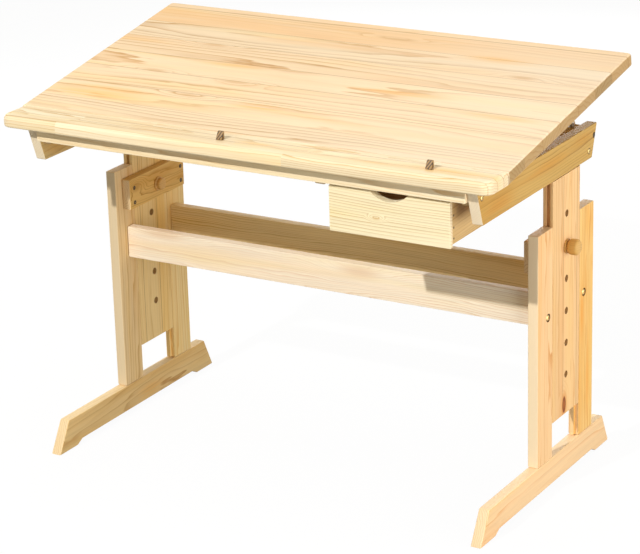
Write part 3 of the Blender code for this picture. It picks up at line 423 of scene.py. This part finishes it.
def wood(name, along, look, seed, low, high, plank=None, stave=None, knots=(), eyes=(), flames=(), painted_shade_rows=(),
         tilt=0.0, ring=RING_WIDTH, contrast=1.0, wave=1.0, pith=0.0, edge=None, fade=0.0, ends="pale"):
    """Pine with rings about a far pith, fibres, end grain and knots; a plank width makes glued boards."""
    early, late, warm = (colour(code) for code in LOOKS[look])
    pick = random.Random(seed)
    made, tree, shader, source = start(name)
    axes = coordinates(tree, levelled(tree, source["Object"], tilt) if tilt else source["Object"])
    order = ["XYZ".index(letter) for letter in GRAINS[along]]
    grain, across, depth = (axes[k] for k in order)
    mid_grain, mid_across, mid_depth = ((low[k] + high[k]) / 2 for k in order)

    # The pith of each board, and its shift along the grain
    if plank:
        part, (chance, second, third) = glued(tree, grain, across, plank, stave, pick.random() * plank, seed)
        centre = calc(tree, "SUBTRACT", calc(tree, "MULTIPLY", chance, GLUED_PITH_SPREAD), GLUED_PITH_OUT)
        aside = calc(tree, "MULTIPLY", calc(tree, "SUBTRACT", part, centre), plank)
        least, spread = GLUED_PITH_BELOW
        below = calc(tree, "ADD", calc(tree, "MULTIPLY", second, spread), least - mid_depth)
        deep = calc(tree, "ADD", depth, below)
        shift = calc(tree, "MULTIPLY", third, GRAIN_SHIFT)
    else:
        least, spread = PITH_BESIDE
        beside = pick.choice((-1.0, 1.0)) * (least + pick.random() * spread) + pith
        aside = calc(tree, "ADD", across, beside - mid_across)
        least, spread = PITH_BELOW
        deep = calc(tree, "ADD", depth, least + pick.random() * spread - mid_depth)
        shift = pick.random() * GRAIN_SHIFT
    point = (calc(tree, "ADD", grain, shift), across, depth)

    # Rings
    offsets = (calc(tree, "SUBTRACT", grain, mid_grain), calc(tree, "SUBTRACT", across, mid_across))
    hearts = [oval(tree, offsets, spot) for spot in knots]
    swirls = [oval(tree, offsets, spot) for spot in eyes]
    quick = grain_noise(tree, point, QUICK_WAVE)
    waves = (
        (grain_noise(tree, point, SLOW_WAVE), SLOW_PUSH),
        (quick, QUICK_PUSH * wave),
        (grain_noise(tree, point, UNEVEN_WAVE), UNEVEN_PUSH),
    )
    rings, season = growth(tree, aside, deep, waves, hearts + swirls, ring)
    patchy = smooth(tree, grain_noise(tree, point, PATCHES), *PATCH_STEP)
    strength = calc(tree, "MULTIPLY", calc(tree, "MULTIPLY", patchy, RING_STRENGTH * contrast), season)
    shade = coated(tree, rings, calc(tree, "MINIMUM", strength, 1.0), early, late)

    # Warm clouds, golden bands, fibres and streaks
    cloud = smooth(tree, grain_noise(tree, point, CLOUDS), *CLOUD_STEP)
    shade = coated(tree, cloud, CLOUD_SHARE, shade, warm)
    golden = smooth(tree, grain_noise(tree, point, GOLD), *GOLD_STEP)
    shade = tinted(tree, shade, mix(tree, golden, WHITE, GOLD_TINT))
    fibre = grain_noise(tree, point, FIBRES)
    shade = tinted(tree, shade, ramp(tree, fibre, FIBRE_GREYS))
    streak = grain_noise(tree, point, STREAKS)
    shade = tinted(tree, shade, ramp(tree, streak, STREAK_GREYS))
    if fade:
        shade = coated(tree, smooth(tree, grain, *FADE_STEP), fade, shade, colour(FADE_COLOUR))

    # Sawn ends, and narrow sides with painted light
    facing = coordinates(tree, source["Normal"])
    end = smooth(tree, calc(tree, "ABSOLUTE", facing[order[0]]), *END_FACING)
    end_share, end_code, end_depth = END_GRAIN[ends]
    sawn = mix(tree, end_share, shade, colour(end_code))
    shade = mix(tree, end, shade, tinted(tree, sawn, coated(tree, rings, end_depth, END_PALE, END_DARK)))
    # Painted light: the narrow sides take a colour set per board to suit the light that falls on them
    if edge:
        side_light_share, side_light_colour = edge
        narrow = smooth(tree, calc(tree, "ABSOLUTE", facing[order[1]]), *END_FACING)
        shade = coated(tree, narrow, side_light_share, shade, colour(side_light_colour))

    # Tone of each glued board, and the line of glue beside it
    if plank:
        shade = coated(tree, third, BOARD_WARMTH, shade, warm)
        shade = tinted(tree, shade, ramp(tree, second, BOARD_GREYS))
        rim = calc(tree, "MULTIPLY", calc(tree, "MINIMUM", part, calc(tree, "SUBTRACT", 1.0, part)), plank)
        line = calc(tree, "MULTIPLY", smooth(tree, rim, *GLUE_STEP), smooth(tree, third, *GLUE_LUCK))
        shade = coated(tree, line, GLUE_SHARE, shade, colour(GLUE_COLOUR))

    # Flames, eyes, edge wear with a painted highlight, knots, and painted shade in bored holes and round
    # screws
    for spot in flames:
        glow = smooth(tree, oval(tree, offsets, spot), *FLAME_STEP)
        glow = calc(tree, "MULTIPLY", glow, smooth(tree, streak, *FLAME_STREAKS))
        shade = tinted(tree, shade, mix(tree, glow, WHITE, FLAME_TINT))
    for reach in swirls:
        shade = coated(tree, smooth(tree, reach, *EYE_STEP), EYE_SHARE, shade, late)
    # Lighter patches along the edges: partly wear, partly a painted highlight for the bright line of light on
    # the eased edges
    wear_and_highlight = calc(tree, "MULTIPLY", near_edge(tree, axes, low, high), smooth(tree, quick, *EDGE_WEAR_AND_HIGHLIGHT_PATCHES))
    shade = coated(tree, wear_and_highlight, EDGE_WEAR_AND_HIGHLIGHT_SHARE, shade, early)
    for reach in hearts:
        shade = knotted(tree, shade, reach)
    for row in painted_shade_rows:
        shade = bored(tree, shade, grain, across, row)
    put(tree, shader.inputs["Base Color"], shade)
    put(tree, shader.inputs["Roughness"], ramp(tree, fibre, LACQUER_GREYS))
    put(tree, shader.inputs["Specular IOR Level"], LACQUER_SHINE)
    relief(tree, shader, *WOOD_RELIEF, calc(tree, "ADD", calc(tree, "MULTIPLY", rings, RING_RELIEF), fibre))
    return made


# Metal, dark wood and plywood

TURNING_MARKS = (60.0, 900.0, 900.0)
DULL_PATCHES = (160.0, 160.0, 160.0)
DULL_STEP = (0.5, 0.8)
DULLNESS = 0.62
DULL_ROUGHNESS = 0.2
METAL_RELIEF = (0.15, 0.0002)
STOP_WOBBLE = (90.0, 90.0, 90.0)
STOP_WOBBLE_REACH = 0.003
STOP_SLANT = 0.7
STOP_STRIPE = 0.0042
STOP_STRIPES = ((0.0, 0.0), (0.3, 0.15), (0.55, 1.0), (0.85, 0.7), (1.0, 0.0))
STOP_COLOURS = ("#33200C", "#A88450")
STOP_GREYS = ((0.2, 0.45), (0.8, 0.65))
STOP_RELIEF = (0.2, 0.0004)
VENEER_FIGURE = (3.0, 45.0, 45.0)
VENEER_DETAIL = 4.0
VENEER_FIBRES = (30.0, 800.0, 800.0)
VENEER_STEP = (0.35, 0.7)
VENEER_COLOURS = ("#E9CD9C", "#D2AC72")
VENEER_GREYS = ((0.2, 0.5), (0.8, 0.68))
VENEER_RELIEF = (0.2, 0.0003)
PLY_THICKNESS = 0.00134
PLY_LINE_STEP = (0.40, 0.47)
PLY_LINE_SHARE = 0.6
PLY_LINE_COLOUR = "#8A6234"


def metal(name, base, roughness):
    """Plain metal with fine turning marks and dull patches."""
    made, tree, shader, source = start(name)
    axes = coordinates(tree, source["Object"])
    patches = noise(tree, axes, DULL_PATCHES)
    dull = tuple(DULLNESS * value for value in base)
    shade = mix(tree, smooth(tree, patches, *DULL_STEP), (*base, 1.0), (*dull, 1.0))
    put(tree, shader.inputs["Base Color"], shade)
    put(tree, shader.inputs["Metallic"], 1.0)
    greys = ((0.3, roughness), (0.8, roughness + DULL_ROUGHNESS))
    put(tree, shader.inputs["Roughness"], ramp(tree, patches, greys))
    relief(tree, shader, *METAL_RELIEF, noise(tree, axes, TURNING_MARKS))
    return made


def dark_wood(name):
    """Dark wood with tan stripes of end grain across its slope."""
    made, tree, shader, source = start(name)
    axes = coordinates(tree, source["Object"])
    wobble = noise(tree, axes, STOP_WOBBLE)
    slant = calc(tree, "MULTIPLY", calc(tree, "SUBTRACT", axes[0], axes[1]), STOP_SLANT)
    slant = calc(tree, "ADD", slant, calc(tree, "MULTIPLY", wobble, STOP_WOBBLE_REACH))
    stripes = ramp(tree, calc(tree, "FRACT", calc(tree, "DIVIDE", slant, STOP_STRIPE)), STOP_STRIPES)
    put(tree, shader.inputs["Base Color"], mix(tree, stripes, *(colour(code) for code in STOP_COLOURS)))
    put(tree, shader.inputs["Roughness"], ramp(tree, wobble, STOP_GREYS))
    relief(tree, shader, *STOP_RELIEF, stripes)
    return made


def plywood(name):
    """Thin plywood: a pale face veneer and dark glue lines at the edges."""
    made, tree, shader, source = start(name)
    axes = coordinates(tree, source["Object"])
    figure = smooth(tree, noise(tree, axes, VENEER_FIGURE, VENEER_DETAIL), *VENEER_STEP)
    fibre = noise(tree, axes, VENEER_FIBRES)
    shade = mix(tree, figure, *(colour(code) for code in VENEER_COLOURS))
    rise = calc(tree, "SUBTRACT", axes[2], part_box("drawer_bottom")[0].z)
    layer = calc(tree, "FRACT", calc(tree, "DIVIDE", rise, PLY_THICKNESS))
    line = smooth(tree, calc(tree, "ABSOLUTE", calc(tree, "SUBTRACT", layer, 0.5)), *PLY_LINE_STEP)
    shade = coated(tree, line, PLY_LINE_SHARE, shade, colour(PLY_LINE_COLOUR))
    put(tree, shader.inputs["Base Color"], shade)
    put(tree, shader.inputs["Roughness"], ramp(tree, fibre, VENEER_GREYS))
    relief(tree, shader, *VENEER_RELIEF, fibre)
    return made


# Painted shade in the bored holes and bolt seats, and painted shadow rings round the rail screws

# Painted shade inside the holes for the lock pegs
LOCK_HOLE_SHADE = (
    holes(LOCK_Z, LEG_Y, radius=0.0072, code="#A27238", share=0.6,
          pitch=HOLE_PITCH, lowest=-4.0, highest=1.0),
)
# Painted shade in the seats of the bolts
BOLT_SEAT_SHADE = {
    end: (holes(BOLT_Z, at_y, radius=0.0085, code="#6A4620", share=0.8),) for end, at_y in BOLT_YS.items()
}
# Painted shadow rings round the rail screws, standing in for the shadow of a countersink
SCREW_SHADOW_RINGS = tuple(
    holes(at_y, at_z, radius=0.0060, code="#4C3214", share=0.85) for at_y, at_z in RAIL_SCREWS
)

# Figure of the boards: place from the board's middle along the grain and across it, half length, half width
TOP_EYES = (
    (-0.371, -0.054, 0.030, 0.006), (-0.172, -0.063, 0.034, 0.007), (-0.317, 0.094, 0.030, 0.006),
    (0.387, 0.110, 0.030, 0.007), (0.050, 0.220, 0.040, 0.006), (-0.232, -0.145, 0.030, 0.006),
)
TOP_FLAMES = (
    (-0.222, 0.011, 0.090, 0.012), (-0.063, -0.157, 0.060, 0.012), (-0.400, -0.160, 0.100, 0.010),
    (0.304, 0.178, 0.080, 0.014), (0.180, -0.022, 0.100, 0.010), (0.420, -0.072, 0.080, 0.010),
    (-0.440, -0.192, 0.130, 0.022),
)
# The last, wide flame gives the right end of the strip a darker, warmer tint: painted shade that offsets the
# fill light there
STRIP_FLAMES = (
    (-0.180, -0.009, 0.080, 0.007), (0.036, 0.002, 0.050, 0.008), (0.300, -0.011, 0.070, 0.007),
    (0.440, -0.006, 0.090, 0.016),
)
RAIL_FLAMES = (
    (-0.1694, -0.0131, 0.060, 0.016), (0.0406, 0.0049, 0.100, 0.012), (0.1906, 0.0149, 0.050, 0.012),
)
REAR_FLAMES = (
    (0.232, 0.0106, 0.050, 0.011), (-0.115, 0.0116, 0.090, 0.011), (0.042, -0.0174, 0.060, 0.009),
)
FOOT_FLAMES = ((0.0461, -0.0050, 0.050, 0.016),)
DRAWER_EYES = ((-0.0273, -0.0072, 0.008, 0.003),)
STRETCHER_EYES = ((0.087, 0.0186, 0.045, 0.012), (-0.390, 0.0286, 0.050, 0.010))
CLEAT_EYES = ((-0.0802, 0.0127, 0.016, 0.008),)
SLIDE_KNOTS = ((-0.2624, -0.0082, 0.018, 0.0080),)

# Each board has its own grain: direction, look and options
TOP_BOARD = 0.079
STRIP_BOARD = 0.0255
STRIP_STAVE = 0.52
SLIDE_BOARD = 0.062
BOARDS = {
    "top_panel": ("X", "top", {"plank": TOP_BOARD, "tilt": TILT, "eyes": TOP_EYES, "flames": TOP_FLAMES,
                               "ring": 0.0092, "wave": 1.3, "fade": 0.4, "ends": "tan"}),
    "front_strip": ("X", "strip", {"plank": STRIP_BOARD, "stave": STRIP_STAVE, "flames": STRIP_FLAMES,
                                   "contrast": 1.3}),
    "front_apron": ("XZ", "apron", {}),
    "rear_rail": ("XZ", "leg_left", {}),
    "stretcher_front": ("XZ", "stretcher", {"eyes": STRETCHER_EYES, "ring": 0.0036, "wave": 1.6,
                                            "pith": 0.05}),
    "stretcher_rear": ("XZ", "stretcher_rear", {"ring": 0.0040, "pith": 0.05}),
    "drawer_hanger": ("Y", "leg_left", {}),
    "drawer_front": ("XZ", "drawer", {"eyes": DRAWER_EYES, "ring": 0.0054, "wave": 0.5, "pith": 0.16}),
    "drawer_back": ("XZ", "drawer_side", {}),
    # The edge colours below are painted light on the narrow sides
    "foot_left": ("Y", "foot_left", {"edge": (0.5, "#F6E2BC"), "flames": FOOT_FLAMES, "contrast": 0.6}),
    "foot_right": ("Y", "foot_right", {"edge": (0.6, "#FBE2BA"), "contrast": 0.8}),
    "upright_left_front": ("Z", "leg_left", {"painted_shade_rows": BOLT_SEAT_SHADE["front"], "edge": (0.8, "#DCC8A6")}),
    "upright_left_rear": ("Z", "leg_left_rear", {"painted_shade_rows": BOLT_SEAT_SHADE["rear"]}),
    "upright_right_front": ("Z", "leg_right", {"painted_shade_rows": BOLT_SEAT_SHADE["front"], "edge": (0.7, "#F2E5C6"),
                                               "wave": 1.6, "contrast": 0.75}),
    "upright_right_rear": ("Z", "upright_orange", {"painted_shade_rows": BOLT_SEAT_SHADE["rear"], "edge": (0.4, "#FBE8C8"),
                                                   "flames": REAR_FLAMES, "wave": 1.8}),
    "slide_board_left": ("Z", "slide_left", {"plank": SLIDE_BOARD, "painted_shade_rows": LOCK_HOLE_SHADE}),
    "slide_board_right": ("Z", "slide_right", {"plank": SLIDE_BOARD, "painted_shade_rows": LOCK_HOLE_SHADE,
                                               "knots": SLIDE_KNOTS}),
    "side_rail_left": ("Y", "rail_left", {"painted_shade_rows": SCREW_SHADOW_RINGS, "flames": RAIL_FLAMES, "ends": "cream"}),
    "side_rail_right": ("Y", "rail", {"painted_shade_rows": SCREW_SHADOW_RINGS, "flames": RAIL_FLAMES, "ends": "cream"}),
}
for side_label, side_sign in SIDES:
    BOARDS["cleat_" + side_label] = ("Y", "cleat", {"wave": 1.8, "contrast": 1.2, "eyes": CLEAT_EYES})
    BOARDS["tilt_rack_" + side_label] = ("Y", "rail", {})
    BOARDS["drawer_runner_" + side_label] = ("Y", "leg_left", {})
    BOARDS["drawer_side_" + side_label] = ("Y", "drawer_side", {})
    BOARDS["panel_batten_" + side_label] = ("Y", "leg_left", {"tilt": TILT})
    BOARDS["prop_arm_" + side_label] = ("Y", "leg_left", {})
    BOARDS["lock_knob_" + side_label] = ("X", "knob", {"ring": 0.004, "ends": "same"})
    BOARDS["lock_nut_" + side_label] = ("X", "knob", {"ring": 0.004, "ends": "same"})

brass = metal("brass", base=(0.84, 0.60, 0.24), roughness=0.28)
steel = metal("steel", base=(0.52, 0.51, 0.49), roughness=0.32)
blackened = metal("blackened", base=(0.10, 0.075, 0.05), roughness=0.45)
FINISHES = {
    "brass": brass,
    "steel": steel,
    "dark_wood": dark_wood("dark_wood"),
    "plywood": plywood("plywood"),
}


# Materials and crisp edges on the solids

FIRST_SEED = 11
SEED_STEP = 7
WELD_DISTANCE = 0.00001
SPLIT_ANGLE = math.radians(38)
FACE_WEIGHT = 80


def level_box(node, tilt):
    """The lowest and the highest corner of a board, once it is turned level."""
    turn = Matrix.Translation(SEAM) @ Matrix.Rotation(-tilt, 4, "X") @ Matrix.Translation(-Vector(SEAM))
    corners = [turn @ vertex.co for vertex in node.data.vertices]
    least = [min(corner[k] for corner in corners) for k in range(3)]
    most = [max(corner[k] for corner in corners) for k in range(3)]
    return least, most


def dress(node, finish):
    """Sets a material on a solid, with smooth round faces and crisp edges."""
    node.data.materials.clear()
    node.data.materials.append(finish)
    node.data.shade_smooth()
    weld = node.modifiers.new("welded", "WELD")
    weld.merge_threshold = WELD_DISTANCE
    crisp = node.modifiers.new("crisp edges", "EDGE_SPLIT")
    crisp.split_angle = SPLIT_ANGLE
    even = node.modifiers.new("even shading", "WEIGHTED_NORMAL")
    even.weight = FACE_WEIGHT


slots = {entry["node"]: entry["material_slot"] for entry in frame["record"]["subparts"]}
for count, name in enumerate(sorted(nodes)):
    if name in BOARDS:
        along, look, options = BOARDS[name]
        least, most = level_box(nodes[name], options.get("tilt", 0.0))
        seed = FIRST_SEED + SEED_STEP * count
        dress(nodes[name], wood("pine_" + name, along, look, seed, least, most, **options))
    else:
        dress(nodes[name], FINISHES[slots[name]])


# Small fittings

SHARP_ANGLE = math.radians(35)


def add(name, mesh, finish, body):
    """A new piece on a body."""
    piece = bpy.data.objects.new(name, mesh)
    scene.collection.objects.link(piece)
    mesh.materials.clear()
    mesh.materials.append(finish)
    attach(piece, body)
    return piece


def to_mesh(name, shape):
    """A mesh from a shape, which is freed."""
    mesh = bpy.data.meshes.new(name)
    shape.to_mesh(mesh)
    shape.free()
    return mesh


def crisp_shading(mesh):
    """Smooth faces with sharp edges."""
    mesh.shade_smooth()
    mesh.set_sharp_from_angle(angle=SHARP_ANGLE)


def lathe(name, profile, facets):
    """A closed turned mesh along +X from a profile of (distance, radius) with both ends on the axis."""
    shape = bmesh.new()
    turns = [2 * math.pi * k / facets for k in range(facets)]
    rings = []
    for distance, radius in profile:
        if radius == 0.0:
            rings.append([shape.verts.new((distance, 0.0, 0.0))])
        else:
            points = [(distance, radius * math.cos(a), radius * math.sin(a)) for a in turns]
            rings.append([shape.verts.new(point) for point in points])
    for first, second in zip(rings, rings[1:]):
        for k in range(facets):
            corners = [
                first[k % len(first)],
                first[(k + 1) % len(first)],
                second[(k + 1) % len(second)],
                second[k % len(second)],
            ]
            unique = list(dict.fromkeys(corners))
            if len(unique) > 2:
                shape.faces.new(unique)
    bmesh.ops.recalc_face_normals(shape, faces=shape.faces)
    mesh = to_mesh(name, shape)
    crisp_shading(mesh)
    return mesh


def cut(mesh, tools):
    """The mesh with each tool cut out of it."""
    made = bpy.data.objects.new("work", mesh)
    scene.collection.objects.link(made)
    helpers = []
    for k, tool in enumerate(tools):
        helper = bpy.data.objects.new("tool_{}".format(k), tool)
        scene.collection.objects.link(helper)
        helpers.append(helper)
        change = made.modifiers.new("cut", "BOOLEAN")
        change.object = helper
        change.operation = "DIFFERENCE"
    bpy.context.view_layer.update()
    result = bpy.data.meshes.new_from_object(made.evaluated_get(bpy.context.evaluated_depsgraph_get()))
    for helper in [made, *helpers]:
        bpy.data.objects.remove(helper)
    crisp_shading(result)
    return result


def block(size, centre):
    """A box mesh for cutting."""
    shape = bmesh.new()
    bmesh.ops.create_cube(shape, size=1.0, matrix=Matrix.Translation(centre) @ Matrix.Diagonal((*size, 1.0)))
    return to_mesh("tool", shape)


def hexagon(radius, depth, start_x):
    """A six-sided bar along X for cutting a key socket."""
    shape = bmesh.new()
    turn = Matrix.Translation((start_x + depth / 2, 0.0, 0.0)) @ Matrix.Rotation(math.pi / 2, 4, "Y")
    bmesh.ops.create_cone(
        shape, cap_ends=True, segments=6, radius1=radius, radius2=radius, depth=depth, matrix=turn
    )
    return to_mesh("tool", shape)


def set_on(piece, position, side, turn=0.0):
    """Sets a fitting on a face that looks along X, turned about its own axis."""
    flip = Matrix.Rotation(0.0 if side > 0 else math.pi, 4, "Z")
    piece.matrix_world = Matrix.Translation(position) @ flip @ Matrix.Rotation(turn, 4, "X")


# Screws with a raised countersunk head and a cross recess, in shares of the head's radius
SCREW_RADIUS = 0.0046
SCREW_FACETS = 24
SCREW_PROFILE = (
    (-2.2, 0.0), (-2.0, 0.35), (-0.8, 0.45), (-0.08, 1.0), (0.04, 0.98), (0.16, 0.75), (0.24, 0.45),
    (0.28, 0.0),
)
RECESS_DEPTH = 0.8
RECESS_LENGTH = 1.15
RECESS_WIDTH = 0.24
RECESS_MIDDLE = 0.2


def screw_mesh(radius):
    """A screw along +X, with the rim of its head at X 0."""
    profile = [(distance * radius, wide * radius) for distance, wide in SCREW_PROFILE]
    head = lathe("screw", profile, SCREW_FACETS)
    deep, bar, slim = (share * radius for share in (RECESS_DEPTH, RECESS_LENGTH, RECESS_WIDTH))
    centre = (RECESS_MIDDLE * radius, 0.0, 0.0)
    return cut(head, [block((deep, bar, slim), centre), block((deep, slim, bar), centre)])


spin = random.Random(5)
small_screw = screw_mesh(SCREW_RADIUS)
cleat_screws = [(at_y, at_z) for at_y in CLEAT_SCREW_YS for at_z in CLEAT_SCREW_ZS]
for side_label, side_sign in SIDES:
    for count, ((at_y, at_z), finish) in enumerate(zip(RAIL_SCREWS, (brass, brass, blackened))):
        name = "rail_screw_{}_{}".format(side_label, count)
        screw = add(name, small_screw.copy(), finish, "frame")
        set_on(screw, (side_sign * LEG_OUTER, at_y, at_z), side_sign, spin.random() * math.pi)
    for count, (at_y, at_z) in enumerate(cleat_screws):
        name = "cleat_screw_{}_{}".format(side_label, count)
        screw = add(name, small_screw.copy(), blackened, "base")
        set_on(screw, (side_sign * CLEAT_LOW.x, at_y, at_z), -side_sign, spin.random() * math.pi)

# Nails through the drawer sides into the front
NAIL_PROFILE = (
    (-0.012, 0.0), (-0.010, 0.0006), (-0.0008, 0.0009), (-0.0005, 0.0021), (0.0002, 0.0021), (0.0004, 0.0015),
    (0.00045, 0.0),
)
NAIL_FACETS = 16
NAIL_INSET = 0.0051
NAIL_HEIGHTS = (0.13, 0.38, 0.66)
for side_label, side_sign in SIDES:
    side_low, side_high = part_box("drawer_side_" + side_label)
    face = side_high.x if side_sign > 0 else side_low.x
    for count, share in enumerate(NAIL_HEIGHTS):
        name = "drawer_nail_{}_{}".format(side_label, count)
        nail = add(name, lathe("nail", NAIL_PROFILE, NAIL_FACETS), blackened, "drawer")
        at_z = side_low.z + share * (side_high.z - side_low.z)
        set_on(nail, (face, side_low.y + NAIL_INSET, at_z), side_sign)

# Domed bolts with a key socket
BOLT_PROFILE = (
    (-0.0650, 0.0), (-0.0645, 0.0024), (-0.0635, 0.0030), (0.0, 0.0030), (0.0002, 0.0055), (0.0008, 0.0060),
    (0.0020, 0.0059), (0.0032, 0.0053), (0.0041, 0.0043), (0.0047, 0.0030), (0.0049, 0.0),
)
BOLT_FACETS = 32
BOLT_SINK = 0.0042
BOLT_TURN = 0.3
SOCKET_RADIUS = 0.0024
SOCKET_DEPTH = 0.004
SOCKET_START = 0.0022
for side_label, side_sign in SIDES:
    for end_label, at_y in BOLT_YS.items():
        suffix = "{}_{}".format(side_label, end_label)
        socket = hexagon(SOCKET_RADIUS, SOCKET_DEPTH, SOCKET_START)
        shank = lathe("bolt", BOLT_PROFILE, BOLT_FACETS)
        bolt = add("bolt_" + suffix, cut(shank, [socket]), brass, "base")
        set_on(bolt, (side_sign * (LEG_OUTER - BOLT_SINK), at_y, BOLT_Z), side_sign, BOLT_TURN)
        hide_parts("stretcher_bolt_" + suffix)


def crown(start_x, end_x, radius, top, steps):
    """Points of a rounded end from (start_x, radius) to (end_x, top)."""
    turns = [math.pi / 2 * k / steps for k in range(steps + 1)]
    return [(start_x + (end_x - start_x) * math.sin(a), top + (radius - top) * math.cos(a)) for a in turns]


# Turned knobs outside the legs and turned nuts on the cleats
TURNED_FACETS = 48
SEAT_GAP = 0.0003
KNOB_PROFILE = [
    (0.0, 0.0), (0.0, 0.0140), (0.0004, 0.0145), (0.0026, 0.0145), (0.0030, 0.0140), (0.0032, 0.0108),
    (0.0048, 0.0105), (0.0055, 0.0118), (0.0070, 0.0140), (0.0095, 0.0156), (0.0120, 0.0160),
    *crown(0.0215, 0.0280, 0.0160, 0.0075, 6), (0.0280, 0.0),
]
NUT_PROFILE = [
    (0.0, 0.0), (0.0, 0.0142), (0.0005, 0.0150), (0.0030, 0.0150), (0.0036, 0.0143), (0.0042, 0.0118),
    (0.0056, 0.0116), *crown(0.0095, 0.0140, 0.0132, 0.0070, 5), (0.0140, 0.0),
]
for side_label, side_sign in SIDES:
    name = "lock_knob_" + side_label
    turned = lathe("knob", KNOB_PROFILE, TURNED_FACETS)
    knob = add("knob_" + side_label, turned, nodes[name].data.materials[0], "lock_" + side_label)
    set_on(knob, (side_sign * (LEG_OUTER + SEAT_GAP), LEG_Y, LOCK_Z), side_sign)
    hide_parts(name)
    name = "lock_nut_" + side_label
    turned = lathe("nut", NUT_PROFILE, TURNED_FACETS)
    nut = add("nut_" + side_label, turned, nodes[name].data.materials[0], "base")
    set_on(nut, (side_sign * (CLEAT_LOW.x - SEAT_GAP), LEG_Y, LOCK_Z), -side_sign)
    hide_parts(name)


# Stage, light and camera

FLOOR_SIZE = 20.0
FLOOR_DROP = 0.0004
FLOOR_LIT = (0.26, 0.255, 0.24, 1.0)
FLOOR_SEEN = (0.95, 0.95, 0.95, 1.0)
FLOOR_GLOW = 0.95
SOFT_LIGHT = 0.33
SOFT_COLOUR = (1.0, 0.94, 0.78, 1.0)

# Name, place, target, watts, width and height of each lamp
LAMPS = (
    ("key", (-0.76, -5.2, 4.2), (0.0, 0.0, 0.5), 300.0, 0.14, 0.14),
    ("fill", (3.0, -0.5, 0.7), (0.4, 0.0, 0.4), 74.0, 3.4, 1.5),
    ("overhead", (-0.4, 0.5, 4.0), (0.0, 0.0, 0.7), 34.0, 3.0, 2.4),
    ("back", (-1.2, 3.6, 1.2), (0.0, 0.1, 0.4), 40.0, 2.0, 1.5),
    ("side", (-3.2, 0.9, 0.8), (-0.5, 0.1, 0.4), 30.0, 2.4, 1.5),
)

IMAGE_WIDTH = 640
FOCAL_PIXELS = 2469.39
SENSOR_WIDTH = 36.0
EYE = (2.4305, -4.0754, 2.0593)
YAW, PITCH, ROLL = 0.5379, -0.3396, -0.0291


def seen_rays(tree):
    """1 for the rays that show a background, in the picture or in a shiny surface."""
    rays = tree.nodes.new("ShaderNodeLightPath").outputs
    seen = calc(tree, "MAXIMUM", rays["Is Camera Ray"], rays["Is Glossy Ray"])
    return calc(tree, "MAXIMUM", seen, rays["Is Transmission Ray"])


def surface(tree, output, factor, first, second):
    """Two shaders mixed by a factor, as the surface of an output."""
    both = tree.nodes.new("ShaderNodeMixShader")
    put(tree, both.inputs["Fac"], factor)
    tree.links.new(first.outputs[0], both.inputs[1])
    tree.links.new(second.outputs[0], both.inputs[2])
    tree.links.new(both.outputs[0], tree.nodes.new(output).inputs["Surface"])


def floor_material():
    """Pale floor that shows white to the camera and keeps a faint shadow."""
    made = bpy.data.materials.new("floor")
    made.use_nodes = True
    tree = made.node_tree
    tree.nodes.clear()
    dull = tree.nodes.new("ShaderNodeBsdfDiffuse")
    glow = tree.nodes.new("ShaderNodeEmission")
    put(tree, glow.inputs["Strength"], 1.0)
    seen = seen_rays(tree)
    put(tree, dull.inputs["Color"], mix(tree, seen, FLOOR_LIT, FLOOR_SEEN))
    surface(tree, "ShaderNodeOutputMaterial", calc(tree, "MULTIPLY", seen, FLOOR_GLOW), dull, glow)
    return made


def studio_world():
    """Soft warm light from all sides, behind a white background."""
    made = bpy.data.worlds.new("studio")
    made.use_nodes = True
    tree = made.node_tree
    tree.nodes.clear()
    soft = tree.nodes.new("ShaderNodeBackground")
    put(tree, soft.inputs["Strength"], SOFT_LIGHT)
    put(tree, soft.inputs["Color"], SOFT_COLOUR)
    white = tree.nodes.new("ShaderNodeBackground")
    put(tree, white.inputs["Strength"], 1.0)
    put(tree, white.inputs["Color"], WHITE)
    surface(tree, "ShaderNodeOutputWorld", seen_rays(tree), soft, white)
    return made


def lamp(name, place, target, power, width, height):
    """A soft lamp at a place that shines at a target."""
    data = bpy.data.lights.new(name, "AREA")
    data.energy = power
    data.shape = "RECTANGLE"
    data.size = width
    data.size_y = height
    made = bpy.data.objects.new(name, data)
    made.location = place
    made.rotation_mode = "QUATERNION"
    made.rotation_quaternion = (Vector(target) - Vector(place)).to_track_quat("-Z", "Y")
    made.visible_camera = False
    scene.collection.objects.link(made)


plane = bmesh.new()
bmesh.ops.create_grid(plane, x_segments=1, y_segments=1, size=FLOOR_SIZE)
floor = bpy.data.objects.new("floor", to_mesh("floor", plane))
floor.data.materials.append(floor_material())
floor.location = (0.0, 0.0, -FLOOR_DROP)
scene.collection.objects.link(floor)

scene.world = studio_world()
for settings in LAMPS:
    lamp(*settings)

ahead = Vector((-math.sin(YAW) * math.cos(PITCH), math.cos(YAW) * math.cos(PITCH), math.sin(PITCH)))
level = Vector((math.cos(YAW), math.sin(YAW), 0.0))
above = level.cross(ahead)
right = math.cos(ROLL) * level + math.sin(ROLL) * above
up = math.cos(ROLL) * above - math.sin(ROLL) * level
lens = bpy.data.cameras.new("camera")
lens.sensor_fit = "HORIZONTAL"
lens.sensor_width = SENSOR_WIDTH
lens.lens = FOCAL_PIXELS / IMAGE_WIDTH * SENSOR_WIDTH
camera = bpy.data.objects.new("camera", lens)
camera.matrix_world = Matrix.Translation(EYE) @ Matrix((right, up, -ahead)).transposed().to_4x4()
scene.collection.objects.link(camera)
scene.camera = camera
scene.view_settings.view_transform = "Standard"
